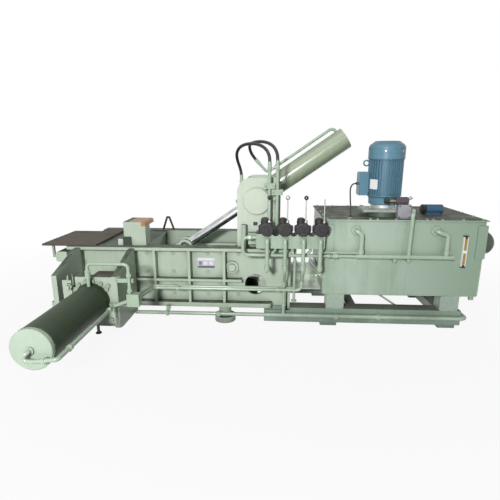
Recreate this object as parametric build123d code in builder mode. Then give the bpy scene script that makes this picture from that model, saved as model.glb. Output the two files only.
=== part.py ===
from build123d import *

import os
from math import atan2, cos, hypot, pi, radians, sin, tan

# Scrap baler: a long press box with a hinged lid, a side ram, a main ram, a discharge gate
# and an oil tank with a standing motor.
# Millimetres. X runs along the press towards the oil tank, Y away from the operator, Z up.
# The origin is on the floor, where the middle of the press box crosses the side ram's axis.

os.makedirs("parts", exist_ok=True)

# Fits
pin_gap = 0.05
slide_gap = 0.4
lid_gap = 5.0
open_pivot_gap = 25.0

# Press box: two walls that face each other across the channel
box_left = -465.0
box_length = 2290.0
box_base = 160.0
box_height = 622.0
channel_half = 390.0
channel_height = 300.0
liner = 20.0
web = 40.0
flange_reach = 90.0
top_flange = 30.0
bottom_flange = 45.0
floor_thick = 40.0
rib = 25.0
rib_reach = 78.0
rib_places = (437.0, 794.0, 1152.0)
long_rib_z = 430.0
long_rib_end = 1330.0
plug_diameter = 34.0
plug_height = 7.0
floor_beam = 80.0
floor_beam_depth = 30.0
floor_beam_places = (-405.0, 300.0, 800.0, 1420.0)
port_clear = slide_gap

box_right = box_left + box_length
box_top = box_base + box_height
floor_top = box_base + floor_thick
channel_top = floor_top + channel_height
liner_back = channel_half + liner
web_face = liner_back + web
flange_face = web_face + flange_reach
flange_middle = (liner_back + flange_face) / 2

# Side ram, which pushes across the channel at its left end
side_axis_z = 400.0
side_stroke = 390.0
pusher_half = 195.0
pusher_thick = 40.0
pusher_length = 330.0
side_barrel = 308.0
side_bore = 260.0
side_rod_diameter = 150.0
side_barrel_front = -1983.0
side_cap = 45.0
side_piston = 90.0
side_rod_flange = 35.0
side_rod_flange_diameter = 188.0

# Thrust frame, which holds the side cylinder out in front of the box
thrust_front = -1030.0
thrust_thick = 48.0
thrust_left_x = -364.0
thrust_right_x = 195.0
thrust_front_top = 626.0
thrust_bottom = 119.0
thrust_window = 60.0
flange_plate_thick = 70.0
flange_plate_base = 172.0
flange_plate_left = -144.0
flange_pitch = 185.0
flange_bolt = 24.0
flange_bolt_count = 16
flange_bolt_right = 170.0
side_weld = 9.0
weld_height = 10.0
clamp_nuts = ((162.0, 143.0), (167.0, -187.0))
guide_left = -255.0
guide_width = 83.0
guide_low = 416.0
guide_high = 593.0
guide_nut_x = -192.0
guide_nut_z = 536.0
guide_nut = 56.0

# Main ram, which pushes along the channel towards the gate
main_axis_z = 350.0
main_face = 1150.0
main_length = 210.0
main_plate = 40.0
main_stroke = 1550.0
main_barrel = 310.0
main_bore = 250.0
main_rod_diameter = 180.0
main_flange = 376.0
main_flange_in = 325.0
main_flange_thick = 60.0
main_gland = 140.0
main_piston = 80.0
main_cap = 50.0
main_rod_flange = 300.0
main_rod_flange_thick = 40.0
crosshead_thick = 60.0
crosshead_bolt = 20.0
crosshead_bolt_count = 16
crosshead_top = 640.0
crosshead_fin = 200.0
tie_length = 300.0
tie_thick = 30.0
access_in = 355.0
access_z = 385.0
access_radius = 111.0

# Lid and its hinge
hinge_x = 1229.0
hinge_z = 568.0
hinge_pin = 80.0
hinge_hub = 120.0
hinge_collar = 130.0
hinge_collar_thick = 20.0
lid_left = 345.0
lid_plate = 40.0
lid_rib_top = 640.0
lid_rib = 25.0
lid_rib_places = (-350.0, -200.0, 200.0, 350.0)
lug_x = 662.0
lug_z = 690.0
lug_pin = 60.0
lug_cheek = 35.0
lug_round = 82.0

# Lid cylinder on its trunnion
trunnion_x = 1478.0
trunnion_z = 1245.0
trunnion_diameter = 120.0
lid_barrel = 226.0
lid_bore = 180.0
lid_rod_diameter = 98.0
lid_barrel_back = 1100.0
lid_barrel_head = 190.0
lid_gland = 40.0
lid_cap = 45.0
lid_piston = 60.0
rod_eye = 130.0
rod_eye_width = 110.0

# Bracket plates that carry the trunnion
bracket_left = 1282.0
bracket_right = 1713.0
bracket_top = 1476.0
rear_bracket_top = 1460.0
bracket_thick = 40.0
bracket_corner = 145.0
boss_diameter = 266.0
boss_thick = 25.0

# Roof over the side ram's end of the channel, and the plate above it
roof_right = 336.0
roof_plate = 50.0
roof_deck = 25.0
roof_rib = 30.0
roof_rib_places = (-440.0, -180.0, 75.0, 305.0)
cover_left = -732.0
cover_right = -160.0
cover_front = -510.0
cover_rear = 200.0
cover_wing_x = -400.0
cover_wing_rear = 340.0
cover_thick = 20.0
strut = 22.0
strut_low = 650.0
strut_in = 80.0

# Discharge end: sill, end plate, head beam, gate rails and the gate
end_plate = 40.0
head_beam_left = -582.0
head_beam_low = 620.0
head_beam_high = 727.0
sill_left = -685.0
sill_low = 110.0
sill_high = 180.0
gate_thick = 50.0
gate_side_lap = 30.0
gate_stroke = 400.0
rail_lip = 28.0
rail_thick = 20.0
yoke = 30.0
gate_barrel = 120.0
gate_bore = 80.0
gate_rod_diameter = 44.0
gate_axis_z = 400.0
gate_gland = 60.0
gate_piston = 40.0
gate_cap = 25.0

# Post, blocks and lifting loop on top of the box
post_left = 108.0
post_width = 230.0
post_front = -440.0
post_depth = 150.0
post_top = 980.0
post_wall = 10.0
post_tie_height = 130.0
slab_thick = 44.0
slab_rear = -140.0
slab_left_lap = 54.0
slab_notch = 42.0
stop_block_width = 63.0
stop_block = 65.0
dark_block_width = 79.0
dark_block_depth = 30.0
dark_block_height = 90.0
loop_bar = 25.0
loop_left = 270.0
loop_right = 402.0
loop_height = 152.0

# Feet
foot_flange = 216.0
foot_drum = 128.0
foot_flange_height = 60.0
foot_places = (-335.0, 1153.0)
jack_x = -42.0
jack_y = -881.0
jack_screw = 28.0
jack_pad = 56.0
jack_pad_thick = 10.0

# Base frame and oil tank
base_lap = 263.0
base_right = 3509.0
base_front = -590.0
base_rear = 418.0
base_low = 40.0
base_high = 191.0
base_wall = 14.0
base_pad = 165.0
base_beam = 150.0
leg_width = 170.0
leg_first = 45.0
leg_second = 335.0
flange_end = 185.0
leg_thick = 20.0
tank_left = 2139.0
tank_right = 3633.0
tank_low = 348.0
tank_high = 1085.0
tank_wall = 10.0
tank_tunnel = 190.0
tank_tunnel_top = 535.0
tank_top_plate = 12.0
tank_top_lap = 18.0
gauge_x = 3458.0
gauge_low = 640.0
gauge_high = 955.0
filter_y = -420.0
filter_z = 850.0
filter_diameter = 240.0
filter_reach = 155.0
filter_plate = 17.0

# Motor, coupling and pump
motor_x = 2748.0
motor_y = -290.0
motor_body = 296.0
motor_fins = 334.0
motor_fin_count = 36
motor_fin = 5.0
motor_foot_z = 1212.0
motor_fins_low = 1306.0
motor_fins_high = 1689.0
motor_high = 1822.0
cowl_diameter = 348.0
cowl_slope = 58.0
cowl_wall = 3.0
shaft_diameter = 48.0
coupling_diameter = 110.0
fan_diameter = 280.0
bell_diameter = 240.0
mount_drum = 300.0
mount_plate_low = 1145.0
mount_plate_high = 1170.0
mount_plate_width = 450.0
mount_plate_depth = 300.0
pump_diameter = 180.0
pump_length = 260.0
box_side = 97.0
box_depth = 150.0
box_low = 1301.0
box_high = 1528.0
box_gland_z = 1413.0

# Pieces on the tank's top plate
relief_x = 2893.0
relief_y = -490.0
relief_side = 122.0
relief_depth = 80.0
relief_height = 134.0
relief_cap = 73.0
breather_in = 268.0
breather_y = -230.0
breather_diameter = 96.0
breather_length = 215.0
breather_saddle = 12.0

# Valve bank
manifold_left = 1483.0
manifold_right = 2135.0
manifold_front = -690.0
manifold_rear = -500.0
manifold_low = 825.0
manifold_high = 965.0
valve_first = 1584.0
valve_pitch = 169.0
valve_count = 4
valve_round = 126.0
valve_axis_z = 1011.0
valve_front = -716.0
valve_depth = 104.0
valve_side = 112.0
valve_bonnet = 76.0
valve_bonnet_left = 18.0
valve_bonnet_y = -662.0
valve_bonnet_top = 1106.0
lever_offset = 22.0
lever_y = -706.0
lever_pivot_z = 1086.0
lever_top = 1298.0
lever_rod = 11.0
lever_knob = 42.0
lever_hub = 26.0
lever_hub_width = 16.0
lever_pin = 10.0
lever_ear = 8.0
lever_side_gap = 0.3
stand_places = (1500.0, 1700.0)
stand_width = 70.0
arm_left = 1400.0
arm_low = 835.0
arm_high = 950.0
side_post = 50.0
side_post_x = 1354.0
side_post_y = -480.0
side_post_height = 236.0

# Pipes
pipe_big = 38.0
pipe_mid = 30.0
pipe_small = 28.0
pipe_thin = 18.0
pipe_bend = 60.0
pipe_bend_small = 45.0
drop_x = (1590.0, 1758.0, 1929.0, 2086.0)
drop_y = -738.0
drop_z = 920.0
drop_low = 625.0
front_pipe_y = -646.0
rear_pipe_y = -562.0
low_pipe_y = -612.0
header_y = -648.0
header_z = 750.0
header_step_x = 2436.0
header_end_x = 3338.0
collector_x = 1354.0
collector_top = 922.0
upright_x = 1862.0
upper_front_z = 388.0
lower_front_z = 397.0
low_pipe_z = 118.0
low_pipe = 38.0
tee_reach = 40.0
hanger = 30.0
wall_hanger_x = 560.0
riser_x = (1604.0, 1679.0)
riser_y = -520.0
riser_high = 1552.0
riser_nut = 26.0
riser_clamp_z = (1402.0, 1342.0)

# Cords
hose_diameter = 32.0
cable_diameter = 14.0
cable_gland = 14.0
cable_gland_x = 2387.0
cable_gland_y = -522.0


def write(part, name):
    """Label a finished piece and write it as the node of that name."""
    part.label = name
    export_step(part, f"parts/{name}.step")


def slab(x, y, z, mode=Mode.ADD):
    """A box between a low and a high limit on each axis."""
    with Locations(((x[0] + x[1]) / 2, (y[0] + y[1]) / 2, (z[0] + z[1]) / 2)):
        Box(x[1] - x[0], y[1] - y[0], z[1] - z[0], mode=mode)


def side_plane(y):
    """The plane at y that looks along -Y, with +X to the right and +Z up."""
    return Plane(origin=(0, y, 0), x_dir=(1, 0, 0), z_dir=(0, -1, 0))


def end_plane(x):
    """The plane at x that looks along -X, with +Y to the left and +Z up."""
    return Plane(origin=(x, 0, 0), x_dir=(0, -1, 0), z_dir=(-1, 0, 0))


def round_bar(start, axis, diameter, length):
    """A solid round bar from a start point along an axis."""
    with BuildPart() as bar:
        with BuildSketch(Plane(origin=start, z_dir=axis)):
            Circle(diameter / 2)
        extrude(amount=length)
    return bar.part


def pipe(route, diameter, bend):
    """A pipe of straight runs joined by bends of one radius."""
    with BuildPart() as run:
        with BuildLine() as path:
            if len(route) == 2:
                Line(*route)
            else:
                FilletPolyline(*route, radius=bend)
        with BuildSketch(Plane(origin=path.line @ 0, z_dir=path.line % 0)):
            Circle(diameter / 2)
        sweep()
    return run.part


def turn_radii(route):
    """One radius for each corner of a cord: 0.45 of the shorter run over the half turn's tangent."""
    radii = []
    for before, corner, after in zip(route, route[1:], route[2:]):
        run_in = Vector(*corner) - Vector(*before)
        run_out = Vector(*after) - Vector(*corner)
        half_turn = radians(run_in.get_angle(run_out)) / 2
        radii.append(0.45 * min(run_in.length, run_out.length) / tan(half_turn))
    return radii


def cord(route, diameter, name):
    """A hose or cable along a hand-chosen route, with its radii and length printed."""
    radii = turn_radii(route)
    with BuildPart() as run:
        with BuildLine() as path:
            FilletPolyline(*route, radius=radii)
        with BuildSketch(Plane(origin=path.line @ 0, z_dir=path.line % 0)):
            Circle(diameter / 2)
        sweep()
    length = path.wires()[0].length
    fill = run.part.volume / (pi * diameter**2 / 4 * length)
    print(name, "radii", [round(r) for r in radii], "length", round(length), "fill", round(fill, 4))
    return run.part


def hex_heads(places, axis, across, height):
    """Hexagon bolt heads that stand on their places along an axis."""
    with BuildPart() as heads:
        for place in places:
            with BuildSketch(Plane(origin=place, z_dir=axis)):
                RegularPolygon(across / 2, 6, major_radius=False)
            extrude(amount=height)
    return heads.part


def ring_points(centre, radius, count, normal, phase=0.0):
    """Points on a circle about a centre, in the plane across a normal."""
    plane = Plane(origin=centre, z_dir=normal)
    angles = [radians(phase + 360 * i / count) for i in range(count)]
    return [plane.from_local_coords(Vector(radius * cos(a), radius * sin(a), 0)) for a in angles]


# Front wall: web, flanges, upright ribs, one long rib, ports for the side ram, rod access and pin
access_x = box_right - access_in
main_flange_x = box_right - main_flange_in
thrust_right_face = thrust_right_x + thrust_thick
port_half = pusher_half + port_clear
with BuildPart() as front_wall:
    slab((box_left, box_right), (-web_face, -liner_back), (box_base, box_top))
    slab((box_left, box_right), (-flange_face, -web_face), (box_top - top_flange, box_top))
    slab((box_left, box_right - flange_end), (-flange_face, -web_face), (box_base, box_base + bottom_flange))
    flange_tip = front_wall.edges().filter_by(Axis.Z).group_by(Axis.Y)[0].sort_by(Axis.X)
    fillet([e for e in flange_tip if abs(e.center().X - box_right + flange_end) < 1], flange_reach / 2)
    slab((-port_half, port_half), (-flange_face, -web_face), (floor_top, box_base + bottom_flange),
         Mode.SUBTRACT)
    for x in rib_places:
        slab((x - rib / 2, x + rib / 2), (-web_face - rib_reach, -web_face),
             (box_base + bottom_flange, box_top - top_flange))
    slab((thrust_right_face, long_rib_end), (-web_face - rib_reach, -web_face),
         (long_rib_z, long_rib_z + rib))
    slab((box_right - rib, box_right), (-flange_face, -web_face), (box_base, box_top - top_flange))
    with BuildSketch(side_plane(-liner_back)):
        with Locations((0, (floor_top + channel_top) / 2)):
            Rectangle(2 * port_half, channel_height)
        with Locations((access_x, access_z)):
            Circle(access_radius)
        with Locations((hinge_x, hinge_z)):
            Circle(hinge_pin / 2)
    extrude(amount=web, mode=Mode.SUBTRACT)
    with BuildSketch(side_plane(-web_face)):
        with Locations((hinge_x, hinge_z)):
            Circle(hinge_collar / 2)
            Circle(hinge_pin / 2, mode=Mode.SUBTRACT)
    extrude(amount=hinge_collar_thick)
    slab((post_left - stop_block_width, post_left), (post_front, post_front + stop_block),
         (box_top, box_top + stop_block))
    wall_corners = front_wall.edges().filter_by(Axis.Z).group_by(Axis.X)[0].group_by(Axis.Y)[0]
    chamfer(wall_corners, 8)

# Rear wall: the same weldment without the ram's port, the access hole and the block
with BuildPart() as rear_wall:
    slab((box_left, box_right), (liner_back, web_face), (box_base, box_top))
    slab((box_left, box_right), (web_face, flange_face), (box_top - top_flange, box_top))
    slab((box_left, box_right), (web_face, flange_face), (box_base, box_base + bottom_flange))
    for x in (0.0, *rib_places):
        slab((x - rib / 2, x + rib / 2), (web_face, web_face + rib_reach),
             (box_base + bottom_flange, box_top - top_flange))
    slab((box_left, long_rib_end), (web_face, web_face + rib_reach), (long_rib_z, long_rib_z + rib))
    slab((box_right - rib, box_right), (web_face, flange_face),
         (box_base + bottom_flange, box_top - top_flange))
    with BuildSketch(side_plane(web_face)):
        with Locations((hinge_x, hinge_z)):
            Circle(hinge_pin / 2)
    extrude(amount=web, mode=Mode.SUBTRACT)
    with BuildSketch(side_plane(web_face + hinge_collar_thick)):
        with Locations((hinge_x, hinge_z)):
            Circle(hinge_collar / 2)
            Circle(hinge_pin / 2, mode=Mode.SUBTRACT)
    extrude(amount=hinge_collar_thick)

# Liners, one on each wall, which the scrap rubs against
liner_right = long_rib_end
with BuildPart() as channel_liners:
    slab((box_left, liner_right), (-liner_back, -channel_half), (floor_top, box_top))
    slab((box_left, liner_right), (channel_half, liner_back), (floor_top, box_top))
    with BuildSketch(side_plane(liner_back)):
        with Locations((hinge_x, hinge_z)):
            Circle(hinge_pin / 2)
    extrude(amount=2 * liner_back, mode=Mode.SUBTRACT)
    with BuildSketch(side_plane(-channel_half)):
        with Locations((0, (floor_top + channel_top) / 2)):
            Rectangle(2 * port_half, channel_height)
        with Locations((access_x, access_z)):
            Circle(access_radius)
    extrude(amount=liner, mode=Mode.SUBTRACT)

# Plugs that hold the liners, flush heads on the outer face of both webs
plug_columns = [(rib_places[i] + rib_places[i + 1]) / 2 for i in range(2)]
plug_columns = [(thrust_right_face + rib_places[0]) / 2, *plug_columns, rib_places[2] + 140.0]
plug_rows = (box_base + bottom_flange + 70.0, long_rib_z + rib + 60.0, box_top - top_flange - 50.0)
plug_places = [(x, -web_face, z) for x in plug_columns for z in plug_rows]
rear_plugs = [(x, web_face, z) for x in plug_columns for z in plug_rows]
plugs = [round_bar(place, (0, -1, 0), plug_diameter, plug_height) for place in plug_places]
plugs += [round_bar(place, (0, 1, 0), plug_diameter, plug_height) for place in rear_plugs]

# Floor of the channel, with cross beams between the bottom flanges
floor_right = main_flange_x - 20.0
with BuildPart() as floor_plate:
    slab((box_left, floor_right), (-liner_back, liner_back), (box_base, floor_top))
    for x in floor_beam_places:
        slab((x - floor_beam / 2, x + floor_beam / 2), (-liner_back, liner_back),
             (box_base - floor_beam_depth, box_base))

# Crosshead, the plate that the main cylinder's flange pulls on, with a tie plate over the rod
crosshead_x = main_flange_x + main_flange_thick
with BuildPart() as crosshead:
    slab((crosshead_x, crosshead_x + crosshead_thick), (-liner_back, liner_back), (box_base, crosshead_top))
    slab((crosshead_x + crosshead_thick - tie_length, crosshead_x + crosshead_thick), (-channel_half, channel_half),
         (crosshead_top, crosshead_top + tie_thick))
    for y in (-250.0, 250.0):
        slab((crosshead_x + crosshead_thick, crosshead_x + crosshead_fin), (y - 15, y + 15),
             (box_base, crosshead_top - 20))
    with BuildSketch(end_plane(crosshead_x + crosshead_thick)):
        with Locations((0, main_axis_z)):
            Circle(main_barrel / 2)
    extrude(amount=crosshead_thick, mode=Mode.SUBTRACT)

# Roof over the side ram: thick pressing plate, cross ribs and a deck flush with the walls
deck_top = box_top - 7.0
with BuildPart() as channel_roof:
    slab((box_left, roof_right), (-channel_half, channel_half), (channel_top, channel_top + roof_plate))
    slab((box_left, roof_right), (-channel_half, channel_half), (deck_top - roof_deck, deck_top))
    for x in roof_rib_places:
        slab((x - roof_rib / 2, x + roof_rib / 2), (-channel_half, channel_half),
             (channel_top + roof_plate, deck_top - roof_deck))

# Worn plate that lies on the walls at the left end, with a strut under its free corner
cover_low = box_top
with BuildPart() as cover_plate:
    with BuildSketch(Plane.XY.offset(cover_low)):
        with BuildLine():
            Polyline((cover_left, cover_front), (cover_right, cover_front), (cover_right, cover_wing_rear),
                     (cover_wing_x, cover_wing_rear), (cover_wing_x, cover_rear), (cover_left, cover_rear),
                     close=True)
        make_face()
    extrude(amount=cover_thick)
    slab((cover_left + strut_in, cover_left + strut_in + strut),
         (cover_front + strut_in / 2, cover_front + strut_in / 2 + strut), (strut_low, cover_low))
    slab((cover_left + strut_in, head_beam_left),
         (cover_front + strut_in / 2, cover_front + strut_in / 2 + strut), (strut_low, strut_low + strut))

# Discharge end: half of the end is closed by a plate, the other half by the gate
end_right = box_left
end_left = end_right - end_plate
gate_right = end_left - slide_gap
gate_left = gate_right - gate_thick
rail_face = gate_left - slide_gap
rail_left = rail_face - rail_thick
gate_front = -gate_side_lap
gate_rear = channel_half + gate_side_lap
rail_end = gate_rear + gate_stroke + 20.0
gate_low = sill_high + slide_gap
gate_high = head_beam_low - slide_gap
with BuildPart() as discharge_frame:
    slab((end_left, end_right), (-flange_face, flange_face), (sill_high, head_beam_low))
    slab((end_left, end_right), (0, channel_half), (floor_top, channel_top), Mode.SUBTRACT)
    with BuildSketch(side_plane(flange_face)) as beam_outline:
        with Locations(((head_beam_left + end_right) / 2, (head_beam_low + head_beam_high) / 2)):
            Rectangle(end_right - head_beam_left, head_beam_high - head_beam_low)
        fillet(beam_outline.vertices().group_by(Axis.X)[0], 28)
    extrude(amount=2 * flange_face)
    slab((sill_left, end_right), (-flange_face, flange_face), (sill_low, sill_high))
    slab((rail_left, end_left), (flange_face, rail_end), (sill_high - rail_lip, sill_high))
    slab((rail_left, end_left), (flange_face, rail_end), (head_beam_low, head_beam_low + rail_lip))
    slab((rail_left, rail_face), (gate_front, rail_end), (sill_high, sill_high + rail_lip))
    slab((rail_left, rail_face), (gate_front, rail_end), (head_beam_low - rail_lip, head_beam_low))
    slab((rail_left, end_left), (rail_end, rail_end + yoke), (sill_high - rail_lip, head_beam_low + rail_lip))
    with BuildSketch(side_plane(rail_end + yoke)):
        with Locations(((gate_left + gate_right) / 2, gate_axis_z)):
            Circle(gate_bore / 2)
    extrude(amount=yoke, mode=Mode.SUBTRACT)
    slab((rail_left, end_left), (flange_face, flange_face + 40), (0, sill_high - rail_lip))
    slab((rail_left, end_left), (rail_end - 10, rail_end + yoke), (0, sill_high - rail_lip))

# Gate with two stiffening bars, its rod and its cylinder
gate_x = (gate_left + gate_right) / 2
with BuildPart() as discharge_gate:
    slab((gate_left, gate_right), (gate_front, gate_rear), (gate_low, gate_high))
    for z in (gate_axis_z - 110.0, gate_axis_z + 110.0):
        slab((gate_left - 22.0, gate_left), (gate_front + 20, gate_rear - 20), (z - 15, z + 15))
    with BuildSketch(side_plane(gate_rear)):
        with Locations((gate_x, gate_axis_z)):
            Circle(gate_rod_diameter / 2 - 12)
    extrude(amount=70, mode=Mode.SUBTRACT)

gate_head = rail_end + yoke
gate_piston_y = gate_head + gate_gland + 6.0
gate_barrel_length = gate_gland + 6.0 + gate_piston + gate_stroke + 12.0 + gate_cap
with BuildPart() as gate_rod:
    add(round_bar((gate_x, gate_rear - 70, gate_axis_z), (0, 1, 0), gate_rod_diameter - 24, 70))
    add(round_bar((gate_x, gate_rear, gate_axis_z), (0, 1, 0), gate_rod_diameter, gate_piston_y - gate_rear))
    add(round_bar((gate_x, gate_piston_y, gate_axis_z), (0, 1, 0), gate_bore - 2 * pin_gap, gate_piston))
with BuildPart() as gate_cylinder:
    with BuildSketch(side_plane(gate_head + gate_barrel_length)):
        with Locations((gate_x, gate_axis_z)):
            Circle(gate_barrel / 2)
    extrude(amount=gate_barrel_length)
    with BuildSketch(side_plane(gate_head + gate_barrel_length - gate_cap)):
        with Locations((gate_x, gate_axis_z)):
            Circle(gate_bore / 2)
    extrude(amount=gate_barrel_length - gate_cap - gate_gland, mode=Mode.SUBTRACT)
    with BuildSketch(side_plane(gate_head + gate_gland)):
        with Locations((gate_x, gate_axis_z)):
            Circle(gate_rod_diameter / 2 + pin_gap)
    extrude(amount=gate_gland, mode=Mode.SUBTRACT)

# Thrust plates: sloping top edge, an arched window in the left one
thrust_rear = -flange_face


def thrust_outline():
    """Side view of a thrust plate: square at the wall, sloping down to the front."""
    return [(thrust_rear, box_top - 8), (thrust_rear - 60, box_top - 8), (thrust_front, thrust_front_top),
            (thrust_front, flange_plate_base - 40), (thrust_front + 60, thrust_bottom),
            (thrust_rear, thrust_bottom)]


across = Plane(origin=(0, 0, 0), x_dir=(0, 1, 0), z_dir=(1, 0, 0))
with BuildPart() as thrust_plate_left:
    with BuildSketch(across.offset(thrust_left_x)):
        with BuildLine():
            Polyline(*thrust_outline(), close=True)
        make_face()
        with Locations(((thrust_rear + thrust_front) / 2 - 20, side_axis_z + 90)):
            SlotOverall(190, thrust_window * 2, rotation=90, mode=Mode.SUBTRACT)
    extrude(amount=thrust_thick)
with BuildPart() as thrust_plate_right:
    with BuildSketch(across.offset(thrust_right_x)):
        with BuildLine():
            Polyline(*thrust_outline(), close=True)
        make_face()
    extrude(amount=thrust_thick)

# Flange plate between the thrust plates, bored for the cylinder's neck, with a nut on a pad beside it
flange_rear = thrust_front + flange_plate_thick
thrust_left_face = thrust_left_x + thrust_thick
guide_right = guide_left + guide_width
with BuildPart() as side_flange_plate:
    slab((flange_plate_left, thrust_right_x), (thrust_front, flange_rear),
         (flange_plate_base, thrust_front_top - 6))
    slab((guide_left, flange_plate_left), (thrust_front, flange_rear), (side_axis_z + 50, side_axis_z + 120))
    slab((thrust_left_face, thrust_right_x), (thrust_front + 60, thrust_rear), (box_base, floor_top))
    slab((thrust_left_face, thrust_right_x), (thrust_front + 60, jack_y + jack_pad), (thrust_bottom, box_base))
    with BuildSketch(side_plane(flange_rear)):
        with Locations((0, side_axis_z)):
            Circle(side_bore / 2 + 10)
    extrude(amount=flange_plate_thick, mode=Mode.SUBTRACT)
    slab((guide_left, guide_right), (thrust_front - 20, thrust_front), (guide_low, guide_high))
    with BuildSketch(side_plane(thrust_front - 20)):
        with Locations((guide_nut_x, guide_nut_z)):
            RegularPolygon(guide_nut / 2, 6, major_radius=False)
    extrude(amount=24)
    with BuildSketch(side_plane(thrust_front - 44)):
        with Locations((guide_nut_x, guide_nut_z)):
            Circle(guide_nut / 3)
    extrude(amount=20)

# Side cylinder: barrel with a neck ring bolted to the flange plate, and a welded cap
side_head = thrust_front
side_barrel_length = side_head - side_barrel_front
with BuildPart() as side_cylinder_tube:
    with BuildSketch(side_plane(side_head)):
        with Locations((0, side_axis_z)):
            Circle(side_barrel / 2)
    extrude(amount=side_barrel_length - side_cap)
    with BuildSketch(side_plane(side_head)):
        with Locations((0, side_axis_z)):
            Circle(side_barrel / 2 + side_weld)
            Circle(side_barrel / 2, mode=Mode.SUBTRACT)
    extrude(amount=weld_height)
    with BuildSketch(side_plane(side_head + flange_plate_thick + 20)):
        with Locations((0, side_axis_z)):
            Circle(side_bore / 2 + 10 - pin_gap)
    extrude(amount=flange_plate_thick + 20)
    with BuildSketch(side_plane(side_head - 60)):
        with Locations((0, side_axis_z)):
            Circle(side_bore / 2)
    extrude(amount=side_barrel_length - side_cap - 60, mode=Mode.SUBTRACT)
    with BuildSketch(side_plane(side_head + flange_plate_thick + 20)):
        with Locations((0, side_axis_z)):
            Circle(side_rod_diameter / 2 + pin_gap)
    extrude(amount=flange_plate_thick + 90, mode=Mode.SUBTRACT)

# Cap: a plate with a turned groove and a raised spigot
with BuildPart() as side_cylinder_cap:
    with BuildSketch(side_plane(side_barrel_front + side_cap)):
        with Locations((0, side_axis_z)):
            Circle(side_barrel / 2)
    extrude(amount=side_cap)
    chamfer(side_cylinder_cap.edges().group_by(Axis.Y)[0], 6)
    with BuildSketch(side_plane(side_barrel_front + side_cap)):
        with Locations((0, side_axis_z)):
            Circle(side_barrel / 2 + 1)
            Circle(side_barrel / 2 - 4, mode=Mode.SUBTRACT)
    extrude(amount=6, mode=Mode.SUBTRACT)

# Bolts round the flange plate, and round the main cylinder's flange
side_bolt_angles = [radians(15 + 360 * i / flange_bolt_count) for i in range(flange_bolt_count)]
side_bolt_ring = [(flange_pitch * cos(a), flange_pitch * sin(a)) for a in side_bolt_angles]
side_bolt_places = [(x, side_head, side_axis_z + up) for x, up in (*side_bolt_ring, *clamp_nuts)
                    if flange_plate_left + flange_bolt < x <= flange_bolt_right]
main_bolt_places = ring_points((main_flange_x, 0, main_axis_z), (main_barrel + main_flange) / 4,
                               crosshead_bolt_count, (-1, 0, 0), 11.25)
with BuildPart() as bolt_heads:
    add(plugs)
    add(hex_heads(side_bolt_places, (0, -1, 0), flange_bolt * 1.5, flange_bolt * 0.65))
    add(hex_heads(main_bolt_places, (-1, 0, 0), crosshead_bolt * 1.4, crosshead_bolt * 0.65))

# Side rod and pusher
pusher_front = -channel_half - slide_gap
pusher_back = pusher_front - pusher_length
side_piston_y = side_head - 66.0
with BuildPart() as side_rod:
    add(round_bar((0, pusher_back, side_axis_z), (0, -1, 0), side_rod_flange_diameter,
                  side_rod_flange))
    add(round_bar((0, pusher_back - side_rod_flange, side_axis_z), (0, -1, 0), side_rod_diameter,
                  side_stroke + pusher_back - side_rod_flange - side_piston_y))
    add(round_bar((0, side_piston_y - side_stroke, side_axis_z), (0, -1, 0), side_bore - 2 * pin_gap,
                  side_piston))
with BuildPart() as side_pusher:
    pusher_z = (floor_top + slide_gap, channel_top - 5.0)
    slab((-pusher_half, pusher_half), (pusher_front - pusher_thick, pusher_front), pusher_z)
    slab((-pusher_half, pusher_half), (pusher_back, pusher_back + pusher_thick), pusher_z)
    for x in (-pusher_half + 12.5, -60.0, 60.0, pusher_half - 12.5):
        slab((x - 12.5, x + 12.5), (pusher_back + pusher_thick, pusher_front - pusher_thick), pusher_z)
    slab((-pusher_half, pusher_half), (pusher_back + pusher_thick, pusher_front - pusher_thick),
         (floor_top + slide_gap, floor_top + 25))
    slab((-pusher_half, pusher_half), (pusher_back + pusher_thick, pusher_front - pusher_thick),
         (channel_top - 30, channel_top - 5.0))

# Main ram: a box weldment open between its ribs
main_back = main_face + main_length
ram_z = (floor_top + slide_gap, channel_top - 5.0)
ram_half = channel_half - slide_gap
with BuildPart() as main_pusher:
    slab((main_face, main_face + main_plate), (-ram_half, ram_half), ram_z)
    slab((main_back - main_plate, main_back), (-ram_half, ram_half), ram_z)
    for y in (-ram_half + 15, -150.0, 150.0, ram_half - 15):
        slab((main_face + main_plate, main_back - main_plate), (y - 15, y + 15), ram_z)
    slab((main_face + main_plate, main_back - main_plate), (-ram_half, ram_half), (ram_z[0], ram_z[0] + 25))
    chamfer(main_pusher.edges().filter_by(Axis.Y).group_by(Axis.X)[0], 6)

# Main rod with its bolted flange and piston, and the main cylinder
main_rod_start = main_back + main_rod_flange_thick
main_piston_x = main_flange_x + main_gland + main_stroke + 8.0
main_barrel_end = main_piston_x + main_piston + 10.0 + main_cap
with BuildPart() as main_rod:
    add(round_bar((main_back, 0, main_axis_z), (1, 0, 0), main_rod_flange - 40, main_rod_flange_thick))
    add(round_bar((main_rod_start, 0, main_axis_z), (1, 0, 0), main_rod_diameter,
                  main_piston_x - main_rod_start))
    add(round_bar((main_piston_x, 0, main_axis_z), (1, 0, 0), main_bore - 2 * pin_gap, main_piston))
with BuildPart() as main_cylinder:
    add(round_bar((main_flange_x, 0, main_axis_z), (1, 0, 0), main_barrel, main_barrel_end - main_flange_x))
    add(round_bar((main_flange_x, 0, main_axis_z), (1, 0, 0), main_flange, main_flange_thick))
    add(round_bar((box_right + 55.0, 0, main_axis_z), (1, 0, 0), main_barrel + 34.0, 45.0))
    with BuildSketch(end_plane(main_barrel_end - main_cap)):
        with Locations((0, main_axis_z)):
            Circle(main_bore / 2)
    extrude(amount=main_barrel_end - main_cap - main_flange_x - main_gland, mode=Mode.SUBTRACT)
    with BuildSketch(end_plane(main_flange_x + main_gland)):
        with Locations((0, main_axis_z)):
            Circle(main_rod_diameter / 2 + pin_gap)
    extrude(amount=main_gland, mode=Mode.SUBTRACT)

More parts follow.
